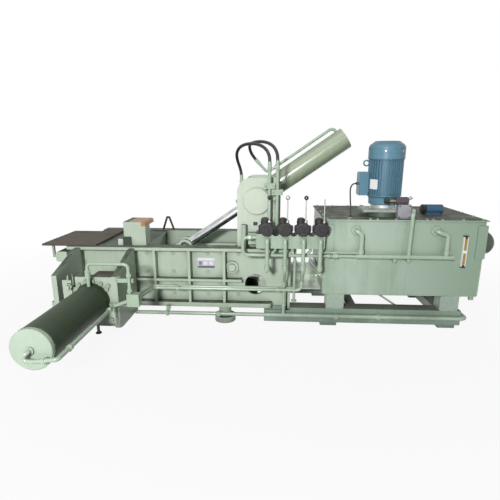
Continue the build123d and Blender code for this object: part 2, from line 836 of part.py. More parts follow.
# Lid: pressing plate, ribs that rise to the hinge hub, and the two lug cheeks
lid_low = channel_top + 1.0
lid_half = channel_half - lid_gap
cheek_inner = rod_eye_width / 2 + 2.0
with BuildPart() as lid:
    slab((lid_left, hinge_x - 20.0), (-lid_half, lid_half), (lid_low, lid_low + lid_plate))
    for y in lid_rib_places:
        with BuildSketch(side_plane(y + lid_rib / 2)):
            with BuildLine():
                Polyline((lid_left + 20, lid_low + lid_plate), (lid_left + 130, lid_rib_top),
                         (hinge_x, lid_rib_top), (hinge_x, lid_low + 10), (hinge_x - 20, lid_low + 10),
                         (hinge_x - 20, lid_low + lid_plate), close=True)
            make_face()
        extrude(amount=lid_rib)
    for y in (-cheek_inner - lug_cheek, cheek_inner):
        with BuildSketch(side_plane(y + lug_cheek)):
            with BuildLine():
                Polyline((lug_x - 190, lid_low + lid_plate), (lug_x - lug_round, lug_z),
                         (lug_x + lug_round, lug_z), (lug_x + 190, lid_low + lid_plate), close=True)
            make_face()
            with Locations((lug_x, lug_z)):
                Circle(lug_round)
        extrude(amount=lug_cheek)
    for x in (lid_left + 45.0, lug_x - 140.0, lug_x + 150.0):
        slab((x - 12, x + 12), (-lid_half, lid_half), (lid_low + lid_plate, lid_low + lid_plate + 55))
    with BuildSketch(side_plane(lid_half)):
        with Locations((hinge_x, hinge_z)):
            Circle(hinge_hub / 2)
    extrude(amount=2 * lid_half)
    with BuildSketch(side_plane(lid_half)):
        with Locations((hinge_x, hinge_z)):
            Circle(hinge_pin / 2 + pin_gap)
    extrude(amount=2 * lid_half, mode=Mode.SUBTRACT)
    with BuildSketch(side_plane(cheek_inner + lug_cheek)):
        with Locations((lug_x, lug_z)):
            Circle(lug_pin / 2 + open_pivot_gap)
    extrude(amount=2 * (cheek_inner + lug_cheek), mode=Mode.SUBTRACT)

pin_reach = web_face + hinge_collar_thick + 22.0
with BuildPart() as lid_hinge_pin:
    add(round_bar((hinge_x, -pin_reach, hinge_z), (0, 1, 0), hinge_pin, 2 * pin_reach))
    chamfer(lid_hinge_pin.edges().group_by(Axis.Y)[0] + lid_hinge_pin.edges().group_by(Axis.Y)[-1], 6)

# Bracket plates: rounded corner towards the press, blind boss over the trunnion
bracket_inner = channel_half + slide_gap
trunnion_reach = bracket_inner + bracket_thick + boss_thick - 10.0


def bracket_outline(top, corner):
    """Face of a bracket plate with one large and one smaller top corner."""
    with BuildSketch() as face:
        with Locations(((bracket_left + bracket_right) / 2, (box_top + top) / 2)):
            Rectangle(bracket_right - bracket_left, top - box_top)
        top_corners = face.vertices().group_by(Axis.Y)[-1].sort_by(Axis.X)
        fillet(top_corners[0], corner)
        fillet(face.vertices().group_by(Axis.Y)[-1].sort_by(Axis.X)[-1], corner / 3)
    return face.sketch


with BuildPart() as lid_bracket_front:
    with BuildSketch(side_plane(-bracket_inner)):
        add(bracket_outline(bracket_top, bracket_corner))
    extrude(amount=bracket_thick)
    with BuildSketch(side_plane(-bracket_inner - bracket_thick)):
        with Locations((trunnion_x, trunnion_z)):
            Circle(boss_diameter / 2)
    extrude(amount=boss_thick)
    chamfer(lid_bracket_front.edges().filter_by(GeomType.CIRCLE).group_by(Axis.Y)[0], 7)
    with BuildSketch(side_plane(-bracket_inner)):
        with Locations((trunnion_x, trunnion_z)):
            Circle(trunnion_diameter / 2 + pin_gap)
    extrude(amount=trunnion_reach - bracket_inner + 2, mode=Mode.SUBTRACT)
with BuildPart() as lid_bracket_rear:
    with BuildSketch(side_plane(bracket_inner + bracket_thick)):
        add(bracket_outline(rear_bracket_top, bracket_corner))
    extrude(amount=bracket_thick)
    with BuildSketch(side_plane(bracket_inner + bracket_thick + boss_thick)):
        with Locations((trunnion_x, trunnion_z)):
            Circle(boss_diameter / 2)
    extrude(amount=boss_thick)
    with BuildSketch(side_plane(trunnion_reach + 2)):
        with Locations((trunnion_x, trunnion_z)):
            Circle(trunnion_diameter / 2 + pin_gap)
    extrude(amount=trunnion_reach + 2 - bracket_inner, mode=Mode.SUBTRACT)

# Lid cylinder along the line from the trunnion to the lug
rod_line = hypot(trunnion_x - lug_x, trunnion_z - lug_z)
lean = Vector((lug_x - trunnion_x) / rod_line, 0, (lug_z - trunnion_z) / rod_line)
lean_up = Vector(lean.Z, 0, -lean.X)
trunnion = Vector(trunnion_x, 0, trunnion_z)
lug = Vector(lug_x, 0, lug_z)


def on_lean(distance, height=0.0):
    """A point at a distance from the trunnion towards the lug, and a height above the axis."""
    return trunnion + lean * distance + lean_up * height


with BuildPart() as lid_cylinder_tube:
    add(round_bar(on_lean(-lid_barrel_back), lean, lid_barrel, lid_barrel_back + lid_barrel_head))
    add(round_bar(on_lean(-75), lean, lid_barrel + 50, 150))
    with BuildSketch(side_plane(trunnion_reach)):
        with Locations((trunnion_x, trunnion_z)):
            Circle(trunnion_diameter / 2)
    extrude(amount=2 * trunnion_reach)
    add(round_bar(on_lean(-lid_barrel_back + lid_cap), lean, lid_bore, lid_barrel_back + lid_barrel_head),
        mode=Mode.SUBTRACT)

# Gland ring in the head of the lid cylinder
with BuildPart() as lid_cylinder_gland:
    add(round_bar(on_lean(lid_barrel_head), lean, lid_barrel - 10, lid_gland))
    add(round_bar(on_lean(lid_barrel_head - 50), lean, lid_bore, 50))
    add(round_bar(on_lean(lid_barrel_head - 60), lean, lid_rod_diameter + 2 * pin_gap, lid_gland + 70),
        mode=Mode.SUBTRACT)

# Steel pipe along the top of the lid barrel, and the port stub at its head
pipe_lift = lid_barrel / 2 + 48.0
port_x = 1295.0
port_top = 1424.0
cap_fitting = Vector(1487.0, 0, 1600.0)
feed_in = 50.0 - lid_barrel_back
barrel_feed = [on_lean(feed_in, lid_barrel / 2 - 6), on_lean(feed_in, pipe_lift), on_lean(-225, pipe_lift),
               cap_fitting]
port_along = (port_x - trunnion_x) / lean.X
port_foot = trunnion_z + port_along * lean.Z + lid_barrel / 2 / -lean.X - 8.0
with BuildPart() as lid_cylinder_pipes:
    add(pipe(barrel_feed, pipe_mid, pipe_bend_small))
    add(pipe([(port_x, 0, port_foot), (port_x, 0, port_top)], pipe_big, 0))
    add(round_bar(on_lean(-352, pipe_lift), lean, pipe_mid + 14, 24))
    add(round_bar(on_lean(-340, lid_barrel / 2), lean_up, 18, pipe_lift - lid_barrel / 2))
    add(round_bar(on_lean(-lid_barrel_back), lean, lid_barrel, lid_barrel_back + lid_barrel_head),
        mode=Mode.SUBTRACT)

# Lid rod with its piston and eye, and the pin through the eye
with BuildPart() as lid_rod:
    add(round_bar(on_lean(lid_barrel_head - 50 - lid_piston - 20), lean, lid_bore - 2 * pin_gap, lid_piston))
    add(round_bar(on_lean(lid_barrel_head - 120), lean, lid_rod_diameter, rod_line - lid_barrel_head + 90))
    with BuildSketch(side_plane(rod_eye_width / 2)):
        with Locations((lug_x, lug_z)):
            Circle(rod_eye / 2)
    extrude(amount=rod_eye_width)
    with BuildSketch(side_plane(rod_eye_width / 2 + 20)):
        with Locations((lug_x, lug_z)):
            Circle(lug_pin / 2)
    extrude(amount=rod_eye_width + 40, mode=Mode.SUBTRACT)
lug_pin_reach = cheek_inner + lug_cheek + 14.0
with BuildPart() as lid_lug_pin:
    add(round_bar((lug_x, -lug_pin_reach, lug_z), (0, 1, 0), lug_pin, 2 * lug_pin_reach))

# Lifting loop: a bent bar on the rear wall
loop_y = flange_middle
loop_mid = (loop_left + loop_right) / 2
loop_route = [(loop_left, loop_y, box_top), (loop_mid - 14, loop_y, box_top + loop_height),
              (loop_mid + 14, loop_y, box_top + loop_height), (loop_right, loop_y, box_top)]
with BuildPart() as lifting_loop:
    add(pipe(loop_route, loop_bar, 10))
    slab((loop_left - 30, loop_right + 30), (loop_y - 40, loop_y + 40), (box_top - 30, box_top), Mode.SUBTRACT)

# Post of folded plate on the front wall: its front and left plates rise past the slab it carries
post_right = post_left + post_width
slab_top = post_top + slab_thick
with BuildPart() as top_post:
    slab((post_left, post_right), (post_front, post_front + post_depth), (box_top, post_top))
    slab((post_left + post_wall, post_right - post_wall),
         (post_front + post_wall, post_front + post_depth - post_wall), (box_top, post_top - post_wall),
         Mode.SUBTRACT)
    slab((post_left, post_left + slab_left_lap), (post_front, slab_rear), (post_top, slab_top))
    slab((post_left, post_right - slab_notch), (post_front, post_front + post_wall), (post_top, slab_top))
    fillet(top_post.edges().filter_by(Axis.Z).group_by(Axis.Y)[0].sort_by(Axis.X)[0], 8)
    slab((post_left, post_left + dark_block_width), (post_front - dark_block_depth, post_front),
         (box_top, box_top + dark_block_height))
    slab((post_left + post_wall, roof_right), (post_front + post_depth, post_front + post_depth + post_wall),
         (box_top, box_top + post_tie_height))
with BuildPart() as post_slab:
    slab((post_left + slab_left_lap, post_right), (post_front + post_wall, slab_rear), (post_top, slab_top))
    slab((post_right - slab_notch, post_right), (post_front, post_front + post_wall), (post_top, slab_top))
    chamfer(post_slab.edges().filter_by(Axis.Y).group_by(Axis.X)[-1].group_by(Axis.Z)[-1], 14)

# Round feet under both walls and the middle of the floor, and the jack under the side cylinder
with BuildPart() as feet:
    for x, y in [(0.0, 0.0), *((x, side * flange_middle) for x in foot_places for side in (-1, 1))]:
        add(round_bar((x, y, 0), (0, 0, 1), foot_flange, foot_flange_height))
        add(round_bar((x, y, foot_flange_height), (0, 0, 1), foot_drum, box_base - foot_flange_height))
    add(round_bar((jack_x, jack_y, 0), (0, 0, 1), jack_pad, jack_pad_thick))
    add(round_bar((jack_x, jack_y, jack_pad_thick), (0, 0, 1), jack_screw, thrust_bottom - jack_pad_thick))

# Base frame under the tank: two long beams, cross beams, legs and pads
base_left = box_right - base_lap
leg_places = (tank_left + leg_first, tank_right - leg_second)
base_inner = (base_front + base_beam, base_rear - base_beam)
with BuildPart() as base_frame:
    for y in (base_front, base_rear - base_beam):
        slab((base_left, base_right), (y, y + base_beam), (base_low, base_high))
        slab((base_left - 1, base_right + 1), (y + 20, y + base_beam - 20),
             (base_low + base_wall, base_high - base_wall), Mode.SUBTRACT)
        for x in (tank_left - 5.0, tank_right - leg_second + 8.0):
            slab((x, x + base_pad), (y + 20, y + base_beam - 20), (0, base_low))
        for x in leg_places:
            slab((x, x + leg_width), (y, y + leg_thick), (base_high, tank_low))
            slab((x, x + leg_thick), (y + leg_thick, y + base_beam), (base_high, tank_low))
    for x in (tank_left + 300.0, base_right - 160.0):
        slab((x, x + 100.0), base_inner, (base_low, base_high - 60))
    for x in (box_right - 120.0, base_right - 20.0):
        slab((x, x + 20.0), base_inner, (base_low, box_base - 10))
    slab((base_left - 1, box_right + 3), (base_front - 1, base_rear + 1), (box_base, base_high + 1), Mode.SUBTRACT)
    with BuildSketch(side_plane(base_inner[0] + 12)):
        with BuildLine():
            brace_top = tank_left + 500.0
            brace_foot = brace_top + 270.0
            Polyline((brace_top, tank_low), (brace_top + 34, tank_low), (brace_foot + 34, base_high - 18),
                     (brace_foot, base_high - 18), close=True)
        make_face()
    extrude(amount=12)

# Oil tank: welded box with a tunnel for the main cylinder, and its bolted top plate
with BuildPart() as tank_shell:
    slab((tank_left, tank_right), (base_front, base_rear), (tank_low, tank_high))
    slab((tank_left + tank_wall, tank_right - tank_wall), (base_front + tank_wall, base_rear - tank_wall),
         (tank_low + tank_wall, tank_high), Mode.SUBTRACT)
    slab((tank_left, tank_right), (-tank_tunnel, tank_tunnel), (tank_low, tank_tunnel_top))
    slab((tank_left - 1, tank_right + 1), (-tank_tunnel + tank_wall, tank_tunnel - tank_wall),
         (tank_low - 1, tank_tunnel_top - tank_wall), Mode.SUBTRACT)
    with BuildSketch(end_plane(tank_right)):
        with Locations((-filter_y, filter_z)):
            Circle(filter_diameter / 2 - 30)
    extrude(amount=tank_wall, mode=Mode.SUBTRACT)
    slab((tank_left + 11, tank_left + 88), (base_front - 8, base_front), (tank_high - 314, tank_high - 39))
    slab((tank_right - 69, tank_right + 20), (base_front - 10, base_front), (tank_high - 357, tank_high - 38))
    slab((tank_right, tank_right + 20), (base_front, base_front + 14), (tank_high - 357, tank_high - 38))
with BuildPart() as tank_top:
    slab((tank_left - tank_top_lap, tank_right + tank_top_lap),
         (base_front - tank_top_lap, base_rear + tank_top_lap), (tank_high, tank_high + tank_top_plate))
    with BuildSketch(Plane.XY.offset(tank_high)):
        with Locations((motor_x, motor_y)):
            Circle(pump_diameter / 2 + 1)
    extrude(amount=tank_top_plate, mode=Mode.SUBTRACT)
    add(round_bar((cable_gland_x, cable_gland_y, tank_high + tank_top_plate), (0, 0, 1), 28, cable_gland))
tank_surface = tank_high + tank_top_plate

# Level gauge: frame with two sight windows
with BuildPart() as level_gauge:
    with BuildSketch(side_plane(base_front)):
        with Locations((gauge_x, (gauge_low + gauge_high) / 2)):
            RectangleRounded(46, gauge_high - gauge_low, 8)
    extrude(amount=22)
    with BuildSketch(side_plane(base_front - 22)):
        for z in (gauge_low + 85.0, gauge_high - 85.0):
            with Locations((gauge_x, z)):
                SlotOverall(110, 22, rotation=90)
    extrude(amount=-8, mode=Mode.SUBTRACT)

# Side filter: pale plate and domed housing
with BuildPart() as side_filter_plate:
    with BuildSketch(end_plane(tank_right + filter_plate)):
        with Locations((-filter_y, filter_z)):
            RectangleRounded(filter_diameter + 70, filter_diameter + 70, 20)
    extrude(amount=filter_plate)
start_x = tank_right + filter_plate
dome_radius = ((filter_diameter / 2 - 14)**2 + 60.0**2) / 120.0
dome_centre = start_x + filter_reach - dome_radius
dome_half = atan2(filter_diameter / 2 - 14, start_x + filter_reach - 60 - dome_centre) / 2
with BuildPart() as side_filter:
    with BuildSketch(Plane(origin=(0, filter_y, filter_z), x_dir=(1, 0, 0), z_dir=(0, -1, 0))):
        with BuildLine():
            Polyline((start_x, 0), (start_x, filter_diameter / 2), (start_x + 18, filter_diameter / 2),
                     (start_x + 18, filter_diameter / 2 - 14), (start_x + filter_reach - 60, filter_diameter / 2 - 14))
            ThreePointArc((start_x + filter_reach - 60, filter_diameter / 2 - 14),
                          (dome_centre + dome_radius * cos(dome_half), dome_radius * sin(dome_half)),
                          (start_x + filter_reach, 0))
            Line((start_x + filter_reach, 0), (start_x, 0))
        make_face()
    revolve(axis=Axis((0, filter_y, filter_z), (1, 0, 0)))
    add(side_filter_plate.part)

# Motor: finned frame with end bells, cowl, shaft and the bell housing below
motor_axis = Axis((motor_x, motor_y, 0), (0, 0, 1))
motor_plane = Plane(origin=(motor_x, motor_y, 0), x_dir=(1, 0, 0), z_dir=(0, -1, 0))
shaft_bore = shaft_diameter / 2 + pin_gap
fan_low = motor_fins_high + 26.0
cowl_low = motor_fins_high
with BuildPart() as motor_frame:
    with BuildSketch(motor_plane):
        with BuildLine():
            Polyline((shaft_bore, motor_foot_z), (motor_body / 2 - 10, motor_foot_z),
                     (motor_body / 2 - 4, motor_foot_z + 6), (motor_body / 2, motor_fins_low - 26),
                     (motor_fins / 2, motor_fins_low - 10),
                     (motor_fins / 2, motor_fins_low), (motor_body / 2, motor_fins_low),
                     (motor_body / 2, motor_fins_high - 14), (cowl_diameter / 2 - cowl_wall, motor_fins_high - 14),
                     (cowl_diameter / 2 - cowl_wall, motor_fins_high), (shaft_bore, motor_fins_high), close=True)
        make_face()
    revolve(axis=motor_axis)
    with BuildSketch(Plane.XY.offset(motor_fins_low)):
        with Locations((motor_x, motor_y)):
            with PolarLocations(motor_body / 2 + 7, motor_fin_count):
                Rectangle(22, motor_fin)
    extrude(amount=motor_fins_high - 14 - motor_fins_low)
with BuildPart() as terminal_box:
    slab((motor_x - motor_fins / 2 - box_side + 6, motor_x - motor_fins / 2 - 8),
         (motor_y - box_depth / 2, motor_y + box_depth / 2), (box_low, box_high))
    fillet(terminal_box.edges().filter_by(Axis.Z).group_by(Axis.X)[0], 12)
    chamfer(terminal_box.edges().group_by(Axis.X)[0].group_by(Axis.Z)[-1], 6)
    slab((motor_x - motor_fins / 2 - 9, motor_x - motor_body / 2 + 30), (motor_y - 50, motor_y + 50),
         (box_low + 30, box_high - 30))
    with BuildSketch(Plane.XY.offset(box_low)):
        with Locations((motor_x, motor_y)):
            Circle(motor_fins / 2 + 1)
    extrude(amount=box_high - box_low, mode=Mode.SUBTRACT)
    add(round_bar((motor_x - motor_fins / 2 - box_side + 6, motor_y, box_gland_z), (-1, 0, 0), 26, 12))
with BuildPart() as motor_cowl:
    with BuildSketch(motor_plane):
        with BuildLine():
            outer = cowl_diameter / 2
            shoulder = motor_high - cowl_slope
            Polyline((outer - cowl_wall, cowl_low - 40), (outer, cowl_low - 40), (outer, shoulder),
                     (outer - 10, shoulder + 22), (outer - cowl_slope, motor_high), (0, motor_high),
                     (0, motor_high - cowl_wall), (outer - cowl_slope - cowl_wall / 2, motor_high - cowl_wall),
                     (outer - 10 - cowl_wall, shoulder + 22 - cowl_wall / 2),
                     (outer - cowl_wall, shoulder), close=True)
        make_face()
    revolve(axis=motor_axis)
    with BuildSketch(Plane.XY.offset(motor_high - cowl_wall)):
        with Locations((motor_x, motor_y)):
            for ring_radius, slots in ((40.0, 9), (70.0, 16), (100.0, 22)):
                with PolarLocations(ring_radius, slots):
                    SlotOverall(26, 9)
    extrude(amount=cowl_wall, mode=Mode.SUBTRACT)
    with BuildSketch(Plane.XY.offset(cowl_low - 40)):
        with Locations((motor_x, motor_y)):
            with PolarLocations(motor_body / 2 + 7, motor_fin_count):
                Rectangle(25, motor_fin + 1)
    extrude(amount=26, mode=Mode.SUBTRACT)
pump_top = tank_high - 60.0
coupling_low = tank_surface + 31.0
with BuildPart() as motor_shaft:
    add(round_bar((motor_x, motor_y, pump_top - 40), (0, 0, 1), shaft_diameter, fan_low + 60 - pump_top + 40))
    add(round_bar((motor_x, motor_y, coupling_low), (0, 0, 1), coupling_diameter, 34))
    add(round_bar((motor_x, motor_y, fan_low), (0, 0, 1), shaft_diameter + 40, 60))
    with BuildSketch(Plane.XY.offset(fan_low)):
        with Locations((motor_x, motor_y)):
            with PolarLocations(fan_diameter / 4 + 15, 7):
                Rectangle(fan_diameter / 2 - 40, 5)
    extrude(amount=50)
with BuildPart() as bell_housing:
    with BuildSketch(Plane.XY.offset(tank_surface)):
        with Locations((motor_x, motor_y)):
            Circle(mount_drum / 2)
    extrude(amount=mount_plate_low - tank_surface)
    with BuildSketch(Plane.XY.offset(mount_plate_low)):
        with Locations((motor_x, motor_y)):
            RectangleRounded(mount_plate_width, mount_plate_depth, 30)
    extrude(amount=mount_plate_high - mount_plate_low)
    with BuildSketch(motor_plane):
        with BuildLine():
            Polyline((0, mount_plate_high), (bell_diameter / 2 + 12, mount_plate_high),
                     (bell_diameter / 2, mount_plate_high + 10), (bell_diameter / 2, motor_foot_z),
                     (0, motor_foot_z), close=True)
        make_face()
    revolve(axis=motor_axis)
    with BuildSketch(Plane.XY.offset(tank_surface)):
        with Locations((motor_x, motor_y)):
            Circle(coupling_diameter / 2 + 12)
    extrude(amount=motor_foot_z - tank_surface, mode=Mode.SUBTRACT)
with BuildPart() as pump:
    add(round_bar((motor_x, motor_y, pump_top - pump_length), (0, 0, 1), pump_diameter, pump_length))
    add(round_bar((motor_x, motor_y, pump_top), (0, 0, 1), pump_diameter, tank_surface - pump_top)
        - round_bar((motor_x, motor_y, pump_top), (0, 0, 1), coupling_diameter, tank_surface - pump_top))
    add(round_bar((motor_x, motor_y, pump_top - 40), (0, 0, 1), 2 * shaft_bore, 40), mode=Mode.SUBTRACT)
    chamfer(pump.edges().group_by(Axis.Z)[0], 10)

# Relief valve: block, ribbed spring body, adjusting knob on a stem, side plug
relief_top = tank_surface + relief_height
relief_left = relief_x - relief_side / 2
relief_body_left = relief_left - 23.0
relief_axis_z = relief_top + relief_cap / 2 - 6.0
with BuildPart() as relief_valve:
    slab((relief_left, relief_left + relief_side), (relief_y - relief_depth / 2, relief_y + relief_depth / 2),
         (tank_surface, relief_top))
    chamfer(relief_valve.edges(), 4)
    add(round_bar((relief_body_left, relief_y, relief_axis_z), (1, 0, 0), relief_cap, relief_side - 4))
    for i in range(5):
        add(round_bar((relief_body_left + 8 + 22 * i, relief_y, relief_axis_z), (1, 0, 0), relief_cap + 8, 12))
    add(round_bar((relief_body_left, relief_y, relief_axis_z), (-1, 0, 0), 22, 56))
    add(round_bar((relief_body_left - 56, relief_y, relief_axis_z), (-1, 0, 0), 50, 46))
    add(round_bar((relief_left + relief_side - 27, relief_y, relief_axis_z + 18), (1, 0, 0.5), 30, 40))

# Breather canister that lies on the tank's top plate
breather_right = tank_right - breather_in
breather_z = tank_surface + breather_saddle + breather_diameter / 2 - 4
with BuildPart() as breather_cover:
    add(round_bar((breather_right - breather_length, breather_y, breather_z), (1, 0, 0), breather_diameter,
                  breather_length))
    chamfer(breather_cover.edges().filter_by(GeomType.CIRCLE), 8)
    slab((breather_right - breather_length + 30, breather_right - 30), (breather_y - 36, breather_y + 36),
         (tank_surface, breather_z - breather_diameter / 3))

# Manifold: scalloped top between the valves, and the stand that carries it
valve_places = [valve_first + i * valve_pitch for i in range(valve_count)]
with BuildPart() as manifold:
    slab((manifold_left, manifold_right), (manifold_front, manifold_rear), (manifold_low, manifold_high))
    for x in valve_places[:-1]:
        with BuildSketch(side_plane(manifold_rear)):
            with Locations((x + valve_pitch / 2, manifold_high + 18)):
                Circle(38)
        extrude(amount=manifold_rear - manifold_front, mode=Mode.SUBTRACT)
    chamfer(manifold.edges().filter_by(Axis.Z), 5)
    for x in stand_places:
        slab((x, x + stand_width), (-flange_face, manifold_rear - 8), (box_top, manifold_low))
    slab((arm_left, manifold_left), (manifold_rear - 60, manifold_rear), (arm_low, arm_high))
    add(round_bar((side_post_x, side_post_y, box_top), (0, 0, 1), side_post, side_post_height))

# Valve bodies: round castings on blocks, with bonnets, and ears for the levers
lever_x = [x + lever_offset for x in valve_places]
ear_inner = lever_hub_width / 2 + lever_side_gap
with BuildPart() as valve_bodies:
    for x in valve_places:
        slab((x - valve_side / 2, x + valve_side / 2), (manifold_front, valve_front + valve_depth),
             (manifold_high, valve_axis_z + 20))
        add(round_bar((x, valve_front, valve_axis_z), (0, 1, 0), valve_round, valve_depth))
        add(round_bar((x - valve_bonnet_left, valve_bonnet_y, valve_axis_z), (0, 0, 1), valve_bonnet,
                      valve_bonnet_top - valve_axis_z))
        for side in (-1, 1):
            ear_x = x + lever_offset + side * (ear_inner + lever_ear / 2)
            slab((ear_x - lever_ear / 2, ear_x + lever_ear / 2), (valve_front, lever_y + 24),
                 (valve_axis_z + 30, lever_pivot_z + 12))
        add(round_bar((x + lever_offset - ear_inner - lever_ear, lever_y, lever_pivot_z), (1, 0, 0), lever_pin,
                      2 * (ear_inner + lever_ear)))
    slab((manifold_left, manifold_right), (manifold_front, manifold_rear), (manifold_low, manifold_high), Mode.SUBTRACT)

# Lever seen from the side: hub on its pin, straight rod, ball knob on the first three
for number, x in enumerate(lever_x, start=1):
    with BuildPart() as lever:
        add(round_bar((x - lever_hub_width / 2, lever_y, lever_pivot_z), (1, 0, 0), lever_hub, lever_hub_width))
        add(round_bar((x, lever_y, lever_pivot_z + 8), (0, 0, 1), lever_rod, lever_top - lever_pivot_z - 8))
        add(round_bar((x - lever_hub_width, lever_y, lever_pivot_z), (1, 0, 0), lever_pin + 2 * pin_gap,
                      2 * lever_hub_width), mode=Mode.SUBTRACT)
        if number < valve_count:
            with Locations((x, lever_y, lever_top + 12)):
                Sphere(lever_knob / 2)
    write(lever.part, f"valve_lever_{number}")

# Valve pipes: four drops with couplings, the collecting pipe under the manifold, two risers with clamps
coupling_z = drop_low + 20.0
elbows = [pipe([(x, manifold_front, drop_z), (x, drop_y, drop_z), (x, drop_y, coupling_z)], pipe_big, 28)
          for x in drop_x]
drop_tails = [
    pipe([(drop_x[0], drop_y, coupling_z), (drop_x[0], drop_y, drop_low - 24),
          (drop_x[0], -web_face, drop_low - 24)], pipe_small, 18),
    pipe([(drop_x[1], drop_y, coupling_z), (drop_x[1], drop_y, drop_low - 20), (drop_x[1], low_pipe_y, drop_low - 150),
          (drop_x[1], low_pipe_y, low_pipe_z + tee_reach)], pipe_small, pipe_bend_small),
    pipe([(drop_x[2], drop_y, coupling_z), (drop_x[2], drop_y, drop_low - 20),
          (drop_x[2], front_pipe_y, drop_low - 130), (drop_x[2], front_pipe_y, lower_front_z + 60)],
         pipe_small, pipe_bend_small),
    pipe([(drop_x[3], drop_y, coupling_z), (drop_x[3], drop_y, drop_low - 10),
          (drop_x[3] - 26, drop_y + 330, drop_low - 40), (drop_x[3] - 26, -60.0, drop_low - 60),
          (drop_x[3] - 26, -60.0, main_axis_z + main_barrel / 2 - 20)], pipe_mid, 20)]
header_joint_x = manifold_right - 15.0
collector = [(manifold_left, header_y, collector_top), (collector_x, header_y, collector_top),
             (collector_x, header_y, header_z), (header_joint_x, header_y, header_z)]
feeder_starts = (1665.0, 1835.0, 2005.0)
feeders = [pipe([(x, header_y, manifold_low), (x, header_y, manifold_low - 26),
                 (x - 46, header_y, header_z)], pipe_small, 20) for x in feeder_starts]
risers = [pipe([(x, riser_y, manifold_high), (x, riser_y, riser_high)], pipe_big - 6, 0) for x in riser_x]
barrel_clear = round_bar((box_right, 0, main_axis_z), (1, 0, 0), main_barrel, tank_left - box_right)
with BuildPart() as valve_pipes:
    add(elbows)
    add(drop_tails)
    add(barrel_clear, mode=Mode.SUBTRACT)
    add(pipe(collector, pipe_mid + 4, 45))
    add(feeders)
    add(risers)
    for x in drop_x:
        add(round_bar((x, manifold_front, drop_z), (0, -1, 0), pipe_big + 16, 18))
        add(round_bar((x, drop_y, coupling_z - 18), (0, 0, 1), pipe_big + 12, 50))
    for x, z in zip(riser_x, riser_clamp_z):
        slab((x - 55, x + 55), (riser_y - 20, riser_y + 20), (z - 27, z + 27))
        slab((x - 45, x - 25), (riser_y + 20, -bracket_inner - bracket_thick), (z - 12, z + 12))
        add(round_bar((x, riser_y, riser_high), (0, 0, 1), pipe_big + 8, riser_nut))

# Side pipes: cap feed under the barrel, head feed in a loop, a block where they meet, and two pipes along the press
feed_y = thrust_front - 62.0
feed_x = 215.0
feed_z = 366.0
leg_x = 378.0
block_x = (352.0, 462.0)
block_y = (feed_y - 22.0, feed_y + 52.0)
block_z = (375.0, 490.0)
cap_feed = [(0, side_barrel_front, side_axis_z), (0, side_barrel_front - 48, side_axis_z),
            (-58, side_barrel_front - 52, 350), (40, side_barrel_front - 52, 345),
            (feed_x, side_barrel_front - 52, feed_z), (feed_x, feed_y + 6, feed_z),
            (block_x[0] + 20, feed_y + 6, block_z[0] + 50)]
head_feed = [(10, feed_y, side_axis_z + side_barrel / 2 - 8), (10, feed_y, 762), (leg_x, feed_y, 762),
             (leg_x, feed_y, block_z[1] - 20)]
rear_run = [(400, feed_y + 30, 450), (425, rear_pipe_y, upper_front_z), (upright_x, rear_pipe_y, upper_front_z)]
front_run = [(438, feed_y + 30, 440), (455, front_pipe_y, lower_front_z), (drop_x[2], front_pipe_y, lower_front_z),
             (drop_x[2], front_pipe_y, lower_front_z + 60)]
side_barrel_clear = round_bar((0, side_head, side_axis_z), (0, -1, 0), side_barrel, side_barrel_length)
with BuildPart() as side_pipes:
    add(pipe(head_feed, pipe_mid, 40))
    add(side_barrel_clear, mode=Mode.SUBTRACT)
    add(pipe(cap_feed, pipe_mid + 2, 24))
    slab(block_x, block_y, block_z)
    add(pipe(rear_run, pipe_mid, 50))
    add(pipe(front_run, pipe_mid, 50))
    add(round_bar((10, feed_y, side_axis_z + side_barrel / 2 + 78), (0, 0, 1), pipe_mid + 18, 50))
    add(round_bar((0, side_barrel_front, side_axis_z), (0, -1, 0), pipe_mid + 26, 14))
    slab((164, 320), (thrust_front - 18, thrust_front), (feed_z - 12, feed_z + 12))
    slab((thrust_right_face, leg_x + 34), (feed_y + 12, feed_y + 30), (590, 624))
    slab((thrust_right_face, thrust_right_face + 30), (feed_y + 12, thrust_front + 30), (590, 624))
    add(pipe([(upright_x, rear_pipe_y, manifold_low), (upright_x, rear_pipe_y, 262)], pipe_small, 0))
    add(round_bar((upright_x, rear_pipe_y, 250), (0, 0, 1), 54, 14))

